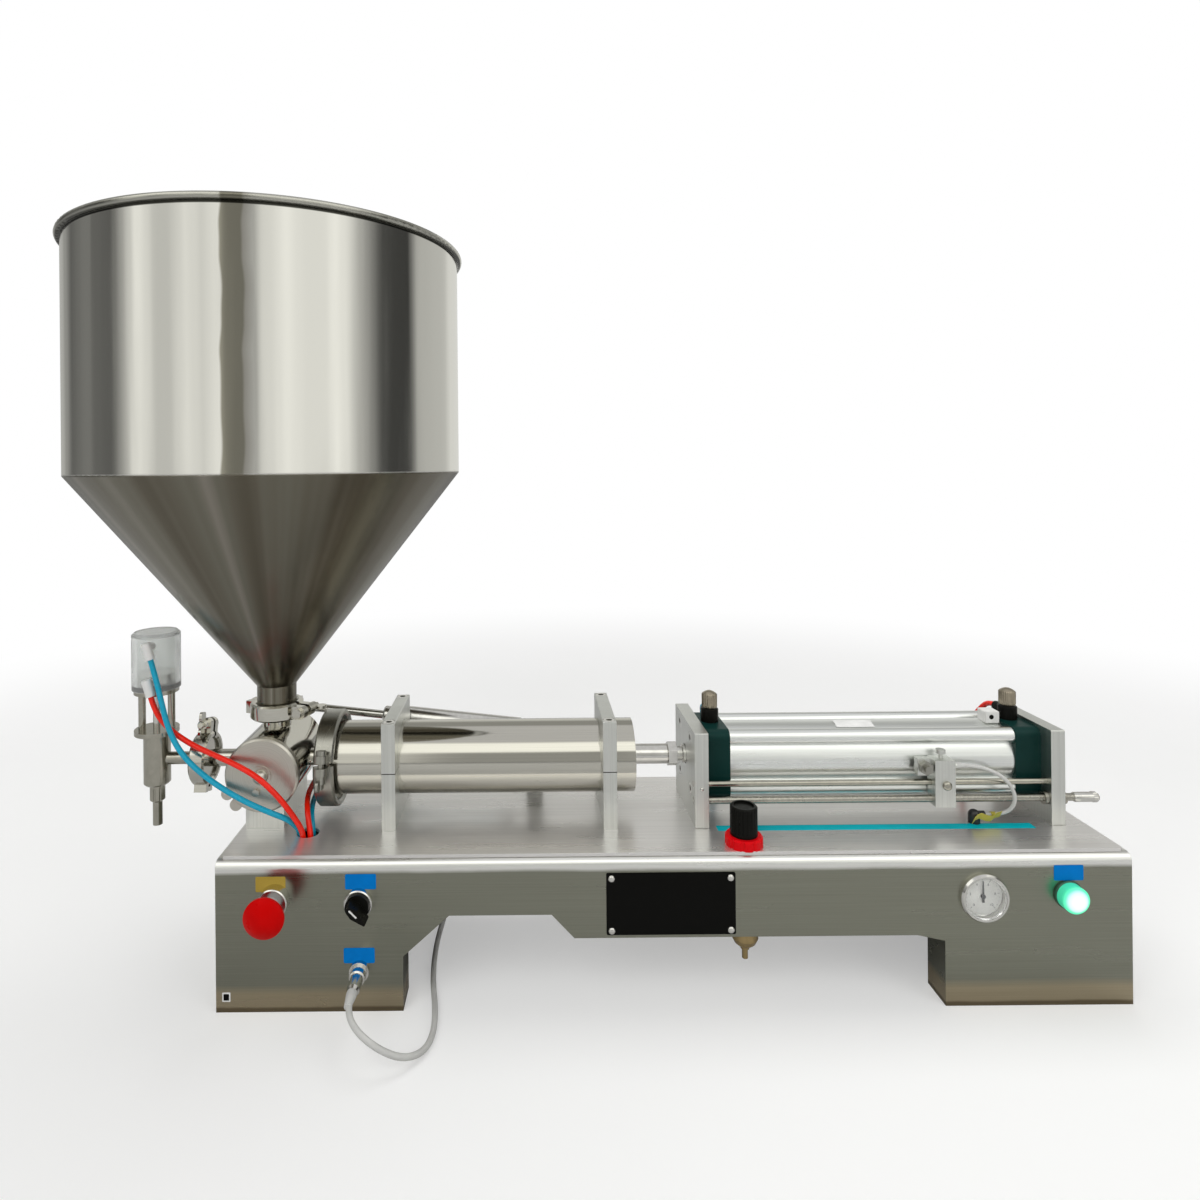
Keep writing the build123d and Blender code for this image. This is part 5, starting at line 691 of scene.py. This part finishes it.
def add_hose(name, points, diameter, material, **facts):
    """A smooth round hose on the given control points, which takes its CAD solid's place."""
    curve = smooth_line(name, points)
    curve.bevel_depth = diameter / 2
    curve.bevel_resolution = 4
    curve.use_fill_caps = True
    curve.materials.append(material)
    hose = bpy.data.objects.new(name + "_line", curve)
    bpy.context.collection.objects.link(hose)
    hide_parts(name)
    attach(hose, "machine")
    return hose


# Tapered strain reliefs

PLUG_BOOT = [(0.0050, 0), (0.0052, 0.003), (0.0034, 0.0195), (0.0030, 0.020)]
PEDAL_BOOT = [(0.0055, 0), (0.0055, 0.003), (0.0035, 0.0185), (0.0030, 0.019)]
SENSOR_BOOT = [(0.0032, 0), (0.0032, 0.002), (0.0022, 0.0095), (0.0020, 0.010)]
lathe("plug_boot", PLUG_BOOT, (-0.319, -0.1345, 0.042), (0, -1, 0), cable_grey)
lathe("pedal_boot", PEDAL_BOOT, (-0.3075, 0.235, 0.008), (1, 0, 0), black_rubber)
lathe("sensor_boot", SENSOR_BOOT, (0.3226, -0.036, 0.2185), (1, 0, 0), cable_grey, "carriage")

# Hoses and cables, each in place of its CAD solid

held = {"far_end": "object", "stiffness": "medium", "lay": "loose"}
add_hose("nozzle_hose_blue", NOZZLE_BLUE, HOSE_DIAMETER, hose_blue, length=0.302, **held)
add_hose("nozzle_hose_red", NOZZLE_RED, HOSE_DIAMETER, hose_red, length=0.280, **held)
add_hose("actuator_hose_blue", ACTUATOR_BLUE, HOSE_DIAMETER, hose_blue, length=0.343, **held)
add_hose("actuator_hose_red", ACTUATOR_RED, HOSE_DIAMETER, hose_red, length=0.252, **held)
add_hose("cylinder_hose_blue", CYLINDER_BLUE, HOSE_DIAMETER, hose_blue, length=0.123, **held)
add_hose("cylinder_hose_red", CYLINDER_RED, HOSE_DIAMETER, hose_red, length=0.123, **held)
add_tube(
    "sensor_cable", SENSOR_CABLE, SENSOR_CABLE_DIAMETER, cable_grey, ("carriage", "machine"),
    (0.3600, -0.0360, 0.2165), (0.3600, -0.0360, 0.1660), length=0.119, with_pieces=["sensor_boot"], **held
)
pedal_line = add_hose(
    "pedal_cable", PEDAL_CABLE + coil_points() + PEDAL_LEAD, HOSE_DIAMETER, cable_grey, length=1.61,
    far_end="tool", stiffness="medium", lay="coiled",
    with_pieces=["pedal_plug", "plug_boot", "pedal_boot", "pedal_base", "pedal_treadle"],
)
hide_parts("pedal_coil")


# Pieces that the photograph shows on the machine


CORNER_STEPS = 4
EDGE_SHARE = 0.3          # of a plate's thickness that its softened edge takes
EDGE_LIMIT = 0.0007


def plate(name, centre, size, thickness, radius, material, normal="front", body="machine", spin=0):
    """A thin plate with round corners and a softened edge, flat against what carries it."""
    bm = bmesh.new()
    half_x, half_y = size[0] / 2, size[1] / 2
    outline = []
    for corner_x, corner_y, start in ((1, 1, 0), (-1, 1, 90), (-1, -1, 180), (1, -1, 270)):
        for step in range(CORNER_STEPS + 1):
            angle = math.radians(start + step * 90 / CORNER_STEPS)
            x = corner_x * (half_x - radius) + radius * math.cos(angle)
            y = corner_y * (half_y - radius) + radius * math.sin(angle)
            outline.append(bm.verts.new((x, y, 0)))
    face = bm.faces.new(outline)
    top = bmesh.ops.extrude_face_region(bm, geom=[face])
    verts = [v for v in top["geom"] if isinstance(v, bmesh.types.BMVert)]
    bmesh.ops.translate(bm, vec=(0, 0, thickness), verts=verts)
    rim = [e for e in bm.edges if all(v.co.z > thickness / 2 for v in e.verts)]
    edge = min(thickness * EDGE_SHARE, EDGE_LIMIT)
    bmesh.ops.bevel(bm, geom=rim, offset=edge, segments=2, affect="EDGES")
    turn = {"front": Matrix.Rotation(math.pi / 2, 4, "X"), "up": Matrix.Identity(4)}[normal]
    bm.transform(Matrix.Translation(centre) @ turn @ Matrix.Rotation(math.radians(spin), 4, "Z"))
    bmesh.ops.recalc_face_normals(bm, faces=bm.faces)
    return add_mesh(name, bm, material, body)


FRONT = -0.100            # the cabinet's front face
LABEL_THICKNESS = 0.0003
plate("label_stop", (-0.4087, FRONT, 0.1295), (0.0305, 0.0155), LABEL_THICKNESS, 0.0012, label_yellow)
plate("label_selector", (-0.3174, FRONT, 0.1314), (0.0315, 0.0155), LABEL_THICKNESS, 0.0015, label_blue)
plate("label_pedal", (-0.3194, FRONT, 0.0566), (0.0315, 0.0155), LABEL_THICKNESS, 0.0015, label_blue)
plate("label_power", (0.4006, FRONT, 0.1340), (0.0300, 0.0155), LABEL_THICKNESS, 0.0012, label_blue)
PLATE_PLACE = (-0.0028, 0.1065)
PLATE_SIZE = (0.131, 0.0625)
PLATE_THICKNESS = 0.0012
plate("name_plate", (PLATE_PLACE[0], FRONT, PLATE_PLACE[1]), PLATE_SIZE, PLATE_THICKNESS, 0.0015, plate_black)
plate("deck_film", (0.2295, -0.0445, 0.156), (0.343, 0.012), 0.00015, 0.0008, film_cyan, "up")


def screw_head(name, centre, radius, material, body="machine"):
    """A domed screw that faces the front."""
    bm = bmesh.new()
    rings = []
    for share, height in ((1.0, 0.0), (1.0, 0.25), (0.85, 0.5), (0.5, 0.68)):
        ring = []
        for step in range(SCREW_SIDES):
            angle = step * math.tau / SCREW_SIDES
            x, y = radius * share * math.cos(angle), radius * share * math.sin(angle)
            ring.append(bm.verts.new((x, y, radius * height)))
        rings.append(ring)
    skin(bm, rings)
    bm.transform(Matrix.Translation(centre) @ Matrix.Rotation(math.pi / 2, 4, "X"))
    return add_mesh(name, bm, material, body, smooth=True)


SCREW_SPREAD = (0.0603, 0.0263)
for side_x in (-1, 1):
    for side_z in (-1, 1):
        number = (side_x + 1) + (side_z + 1) // 2
        x = PLATE_PLACE[0] + side_x * SCREW_SPREAD[0]
        z = PLATE_PLACE[1] + side_z * SCREW_SPREAD[1]
        screw_head(f"name_plate_screw_{number}", (x, FRONT - PLATE_THICKNESS, z), 0.0036, bright_steel)
screw_head("carriage_screw", (0.3075, -0.046, 0.2005), 0.0050, dark_steel, "carriage")


def ribbon(name, path, width, thickness, material, body="machine"):
    """A thin strip along a path, as wide as the width vector and closed all round."""
    bm = bmesh.new()
    across = Vector(width) / 2
    path = [Vector(point) for point in path]
    sections = []
    for index, point in enumerate(path):
        before, after = path[max(index - 1, 0)], path[min(index + 1, len(path) - 1)]
        up = (after - before).cross(Vector(width)).normalized() * thickness
        corners = (point - across, point + across, point + across + up, point - across + up)
        sections.append([bm.verts.new(corner) for corner in corners])
    skin(bm, sections)
    bmesh.ops.recalc_face_normals(bm, faces=bm.faces)
    return add_mesh(name, bm, material, body, smooth=True)


# The gauge's dial

DIAL_CENTRE = (0.3145, -0.0970, 0.1100)
DIAL_RADIUS = 0.0194
DIAL_THICKNESS = 0.0003
DIAL_SWEEP = math.radians(270)
DIAL_STEPS = 20
PRINT_THICKNESS = 0.00006
TICK_END = 0.0178
TICK_LENGTHS = (0.0024, 0.0013)
TICK_WIDTHS = (0.0004, 0.00022)
NUMBER_REACH = 0.0128
NUMBER_SIZE = 0.0036


def on_dial(share, reach):
    """The place on the dial at a share of its scale, and the angle there."""
    angle = DIAL_SWEEP * (share - 0.5)
    x = DIAL_CENTRE[0] + reach * math.sin(angle)
    return Vector((x, DIAL_CENTRE[1] - DIAL_THICKNESS, DIAL_CENTRE[2] + reach * math.cos(angle))), angle


def dial_ticks():
    """Long and short ticks along the scale."""
    bm = bmesh.new()
    for step in range(DIAL_STEPS + 1):
        kind = step % 4 > 0
        place, angle = on_dial(step / DIAL_STEPS, TICK_END - TICK_LENGTHS[kind] / 2)
        size = Matrix.Diagonal((TICK_WIDTHS[kind], PRINT_THICKNESS, TICK_LENGTHS[kind], 1))
        turned = Matrix.Translation(place) @ Matrix.Rotation(angle, 4, "Y") @ size
        bmesh.ops.create_cube(bm, size=1, matrix=turned)
    return add_mesh("dial_ticks", bm, plate_black)


def dial_number(value, share):
    curve = bpy.data.curves.new("dial_number_" + value, "FONT")
    curve.body = value
    curve.size = NUMBER_SIZE
    curve.align_x = "CENTER"
    curve.align_y = "CENTER"
    curve.extrude = PRINT_THICKNESS
    curve.materials.append(plate_black)
    number = bpy.data.objects.new("dial_number_" + value, curve)
    bpy.context.collection.objects.link(number)
    place = on_dial(share, NUMBER_REACH)[0]
    number.matrix_world = Matrix.Translation(place) @ Matrix.Rotation(math.pi / 2, 4, "X")
    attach(number, "machine")


DIAL_DISC = [(DIAL_RADIUS, 0), (DIAL_RADIUS, DIAL_THICKNESS)]
lathe("gauge_dial", DIAL_DISC, DIAL_CENTRE, (0, -1, 0), dial_white, sides=64)
dial_ticks()
for number in range(0, 11, 2):
    dial_number(str(number), number / 10)

# Small pieces

plate(
    "selector_mark", (-0.3205, -0.1233, 0.1115), (0.0105, 0.0018), 0.0002, 0.0006, paper_white,
    body="selector", spin=-45,
)
FLOW_GRIP = [(0.0045, 0), (0.0045, 0.0107), (0.0080, 0.0112), (0.0088, 0.0122)]
FLOW_GRIP += [(0.0088, 0.0255), (0.0080, 0.0268), (0.0055, 0.0285), (0.0025, 0.0298)]
for name, x in (("front_flow_knob", 0.0634), ("rear_flow_knob", 0.4074)):
    grip = lathe(
        name + "_grip", FLOW_GRIP, (x, 0.009, 0.2605), (0, 0, 1), nickel,
        body=name, sides=144, ribs=24, depth=0.0007,
    )
    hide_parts(name)
SCREW_NUT = [(0.0042, 0), (0.0048, 0.0006), (0.0052, 0.0014), (0.0052, 0.0200)]
SCREW_NUT += [(0.0057, 0.0208), (0.0057, 0.0250), (0.0040, 0.0258)]
lathe(
    "lead_screw_nut", SCREW_NUT, (0.4505, -0.036, 0.183), (1, 0, 0), bright_steel,
    body="lead_screw", sides=120, ribs=20, depth=0.0005,
)
BARREL_RADIUS = 0.0367
BARREL_AXIS = (0.009, 0.218)
STICKER_X = 0.2260
STICKER_START, STICKER_STEP = 66, 3      # degrees up from the barrel's front
sticker_arc = []
for step in range(9):
    angle = math.radians(STICKER_START + step * STICKER_STEP)
    y = BARREL_AXIS[0] - BARREL_RADIUS * math.cos(angle)
    z = BARREL_AXIS[1] + BARREL_RADIUS * math.sin(angle)
    sticker_arc.append((STICKER_X, y, z))
ribbon("barrel_sticker", sticker_arc, (0.043, 0, 0), 0.0002, paper_white)
plate("port_block", (0.3830, 0.0120, 0.2600), (0.0165, 0.0135), 0.0150, 0.0012, white_plastic)
# A black disc on the block's face, painted shade for the dark inside its open port.
PORT_SHADE_DISC = [(0.0026, 0), (0.0026, 0.0002)]
lathe("port_shade_disc", PORT_SHADE_DISC, (0.3820, -0.0030, 0.2605), (0, -1, 0), black_plastic, sides=24)
TAG_PATH = [
    (0.3690, -0.0405, 0.1668), (0.3620, -0.0425, 0.1664), (0.3560, -0.0452, 0.1640),
    (0.3500, -0.0458, 0.1648), (0.3440, -0.0450, 0.1672), (0.3385, -0.0466, 0.1660),
    (0.3345, -0.0480, 0.1628),
]
TAG_WRAP = [(0.0021, 0), (0.0029, 0), (0.0029, 0.007), (0.0021, 0.007)]
ribbon("cable_tag", TAG_PATH, (0.001, -0.0035, 0.0075), 0.0004, tag_yellow)
lathe("cable_tag_wrap", TAG_WRAP, (0.3600, -0.036, 0.1646), (1, 0, 0), tag_yellow)
MARK_X, MARK_Z = -0.4545, 0.0155
MARK_FRONT = FRONT - LABEL_THICKNESS
plate("foot_mark", (MARK_X, FRONT, MARK_Z), (0.0085, 0.0095), LABEL_THICKNESS, 0.0008, paper_white)
plate("foot_mark_middle", (MARK_X, MARK_FRONT, MARK_Z), (0.0055, 0.0065), 0.0001, 0.0006, plate_black)
screw_head("plate_screw", (0.0419, -0.045, 0.1985), 0.0022, bright_steel)

# Light and surroundings

WORLD_LIGHT = 0.38
# What metal reflects, round the horizon from straight left through the front, right and back
ROOM_ROUND = (
    (0.000, 0.15), (0.045, 0.11), (0.070, 0.45), (0.092, 1.00), (0.122, 0.60), (0.148, 0.60), (0.168, 0.88),
    (0.200, 0.72), (0.220, 0.95), (0.232, 0.42), (0.270, 0.42), (0.283, 0.78), (0.300, 0.80), (0.318, 1.00),
    (0.345, 0.85), (0.378, 0.85), (0.398, 1.05), (0.420, 0.80), (0.445, 0.36), (0.480, 0.06), (0.535, 0.05),
    (0.556, 0.50), (0.640, 0.56), (0.670, 0.75), (0.790, 0.70), (0.820, 0.50), (0.890, 0.42), (0.935, 0.12),
    (0.975, 0.20),
)
CEILING_ROUND = ((0.00, 0.5), (0.06, 1.5), (0.44, 1.5), (0.52, 0.5), (0.60, 0.38), (0.90, 0.40))
ZENITH = 0.70
# Heights in the view direction where the ceiling and the zenith begin and are full
CEILING_RISE = (0.42, 0.52)
ZENITH_RISE = (0.80, 0.88)


def ramp_node(tree, value, stops, warmth=0.95):
    ramp = tree.nodes.new("ShaderNodeValToRGB")
    elements = ramp.color_ramp.elements
    while len(elements) < len(stops):
        elements.new(0.5)
    for element, (position, level) in zip(elements, stops):
        element.position = position
        element.color = (level, level, level * warmth, 1)
    tree.links.new(value, ramp.inputs["Fac"])
    return ramp.outputs["Color"]


def seen_rays(tree):
    """The ray kinds, and 1 for what the camera sees, also through clear plastic and glass."""
    paths = tree.nodes.new("ShaderNodeLightPath")
    seen = tree.nodes.new("ShaderNodeMath")
    seen.operation = "MAXIMUM"
    tree.links.new(paths.outputs["Is Camera Ray"], seen.inputs[0])
    tree.links.new(paths.outputs["Is Transmission Ray"], seen.inputs[1])
    return paths, seen.outputs[0]


def smooth_step(tree, value, low, high):
    step = tree.nodes.new("ShaderNodeMapRange")
    step.interpolation_type = "SMOOTHSTEP"
    step.inputs["From Min"].default_value = low
    step.inputs["From Max"].default_value = high
    tree.links.new(value, step.inputs["Value"])
    return step.outputs["Result"]


def add_world():
    """White where the camera looks; what metal reflects is a studio with bright and dark stretches."""
    world = bpy.data.worlds.new("studio")
    bpy.context.scene.world = world
    world.use_nodes = True
    tree = world.node_tree
    background = tree.nodes["Background"]
    coordinates = tree.nodes.new("ShaderNodeTexCoord")
    around = tree.nodes.new("ShaderNodeTexGradient")
    around.gradient_type = "RADIAL"
    tree.links.new(coordinates.outputs["Generated"], around.inputs["Vector"])
    room = ramp_node(tree, around.outputs["Fac"], ROOM_ROUND)
    ceiling = ramp_node(tree, around.outputs["Fac"], CEILING_ROUND)
    split = tree.nodes.new("ShaderNodeSeparateXYZ")
    tree.links.new(coordinates.outputs["Generated"], split.inputs["Vector"])
    above = smooth_step(tree, split.outputs["Z"], *CEILING_RISE)
    overhead = smooth_step(tree, split.outputs["Z"], *ZENITH_RISE)
    reflected = mix_node(tree, above, room, ceiling)
    reflected = mix_node(tree, overhead, reflected, (ZENITH, ZENITH, ZENITH, 1))
    paths, seen = seen_rays(tree)
    plain = (WORLD_LIGHT, WORLD_LIGHT, WORLD_LIGHT, 1)
    first = mix_node(tree, paths.outputs["Is Glossy Ray"], plain, reflected)
    tree.links.new(mix_node(tree, seen, first, (1, 1, 1, 1)), background.inputs["Color"])


def add_light(name, place, target, size, power):
    """A soft lamp that lights the machine and isn't itself seen in the metal."""
    data = bpy.data.lights.new(name, "AREA")
    data.shape = "RECTANGLE"
    data.size, data.size_y = size
    data.energy = power
    light = bpy.data.objects.new(name, data)
    bpy.context.collection.objects.link(light)
    light.location = place
    light.visible_glossy = False
    light.rotation_euler = (Vector(target) - Vector(place)).to_track_quat("-Z", "Y").to_euler()


FLOOR_LIFT = 0.36         # light added to the floor where the camera sees it
FLOOR_FADE = (0.9, 2.2)   # metres from the machine over which the floor turns plain white


def add_floor():
    """Pale floor that keeps the shadow near the machine and turns plain white away from it."""
    bm = bmesh.new()
    bmesh.ops.create_grid(bm, x_segments=1, y_segments=1, size=8)
    mesh = bpy.data.meshes.new("floor")
    bm.to_mesh(mesh)
    bm.free()
    shader = Shader("floor_paint", (0.62, 0.62, 0.61), 0.9)
    shader.tint(3, 0.01).bump(40, 0.0001)
    tree = shader.tree
    away = tree.nodes.new("ShaderNodeVectorMath")
    away.operation = "LENGTH"
    tree.links.new(shader.coordinates, away.inputs[0])
    fade = smooth_step(tree, away.outputs["Value"], *FLOOR_FADE)
    seen = seen_rays(tree)[1]
    lift = tree.nodes.new("ShaderNodeEmission")
    lift.inputs["Strength"].default_value = FLOOR_LIFT
    lifted = tree.nodes.new("ShaderNodeAddShader")
    tree.links.new(shader.surface.outputs[0], lifted.inputs[0])
    tree.links.new(lift.outputs[0], lifted.inputs[1])
    white = tree.nodes.new("ShaderNodeEmission")
    faded = tree.nodes.new("ShaderNodeMixShader")
    tree.links.new(fade, faded.inputs[0])
    tree.links.new(lifted.outputs[0], faded.inputs[1])
    tree.links.new(white.outputs[0], faded.inputs[2])
    last = tree.nodes.new("ShaderNodeMixShader")
    tree.links.new(seen, last.inputs[0])
    tree.links.new(shader.surface.outputs[0], last.inputs[1])
    tree.links.new(faded.outputs[0], last.inputs[2])
    tree.links.new(last.outputs[0], tree.nodes["Material Output"].inputs["Surface"])
    mesh.materials.append(shader.material)
    floor = bpy.data.objects.new("floor", mesh)
    bpy.context.collection.objects.link(floor)


add_world()
add_light("key", (-1.3, -1.9, 2.0), (0, 0, 0.3), (1.8, 1.8), 30)
add_light("fill", (1.7, -1.6, 1.3), (0, 0, 0.25), (1.5, 1.5), 14)
add_light("top", (0.0, 0.5, 2.2), (0, 0, 0.2), (2.4, 1.2), 20)
add_floor()

bpy.context.scene.view_settings.view_transform = "Standard"
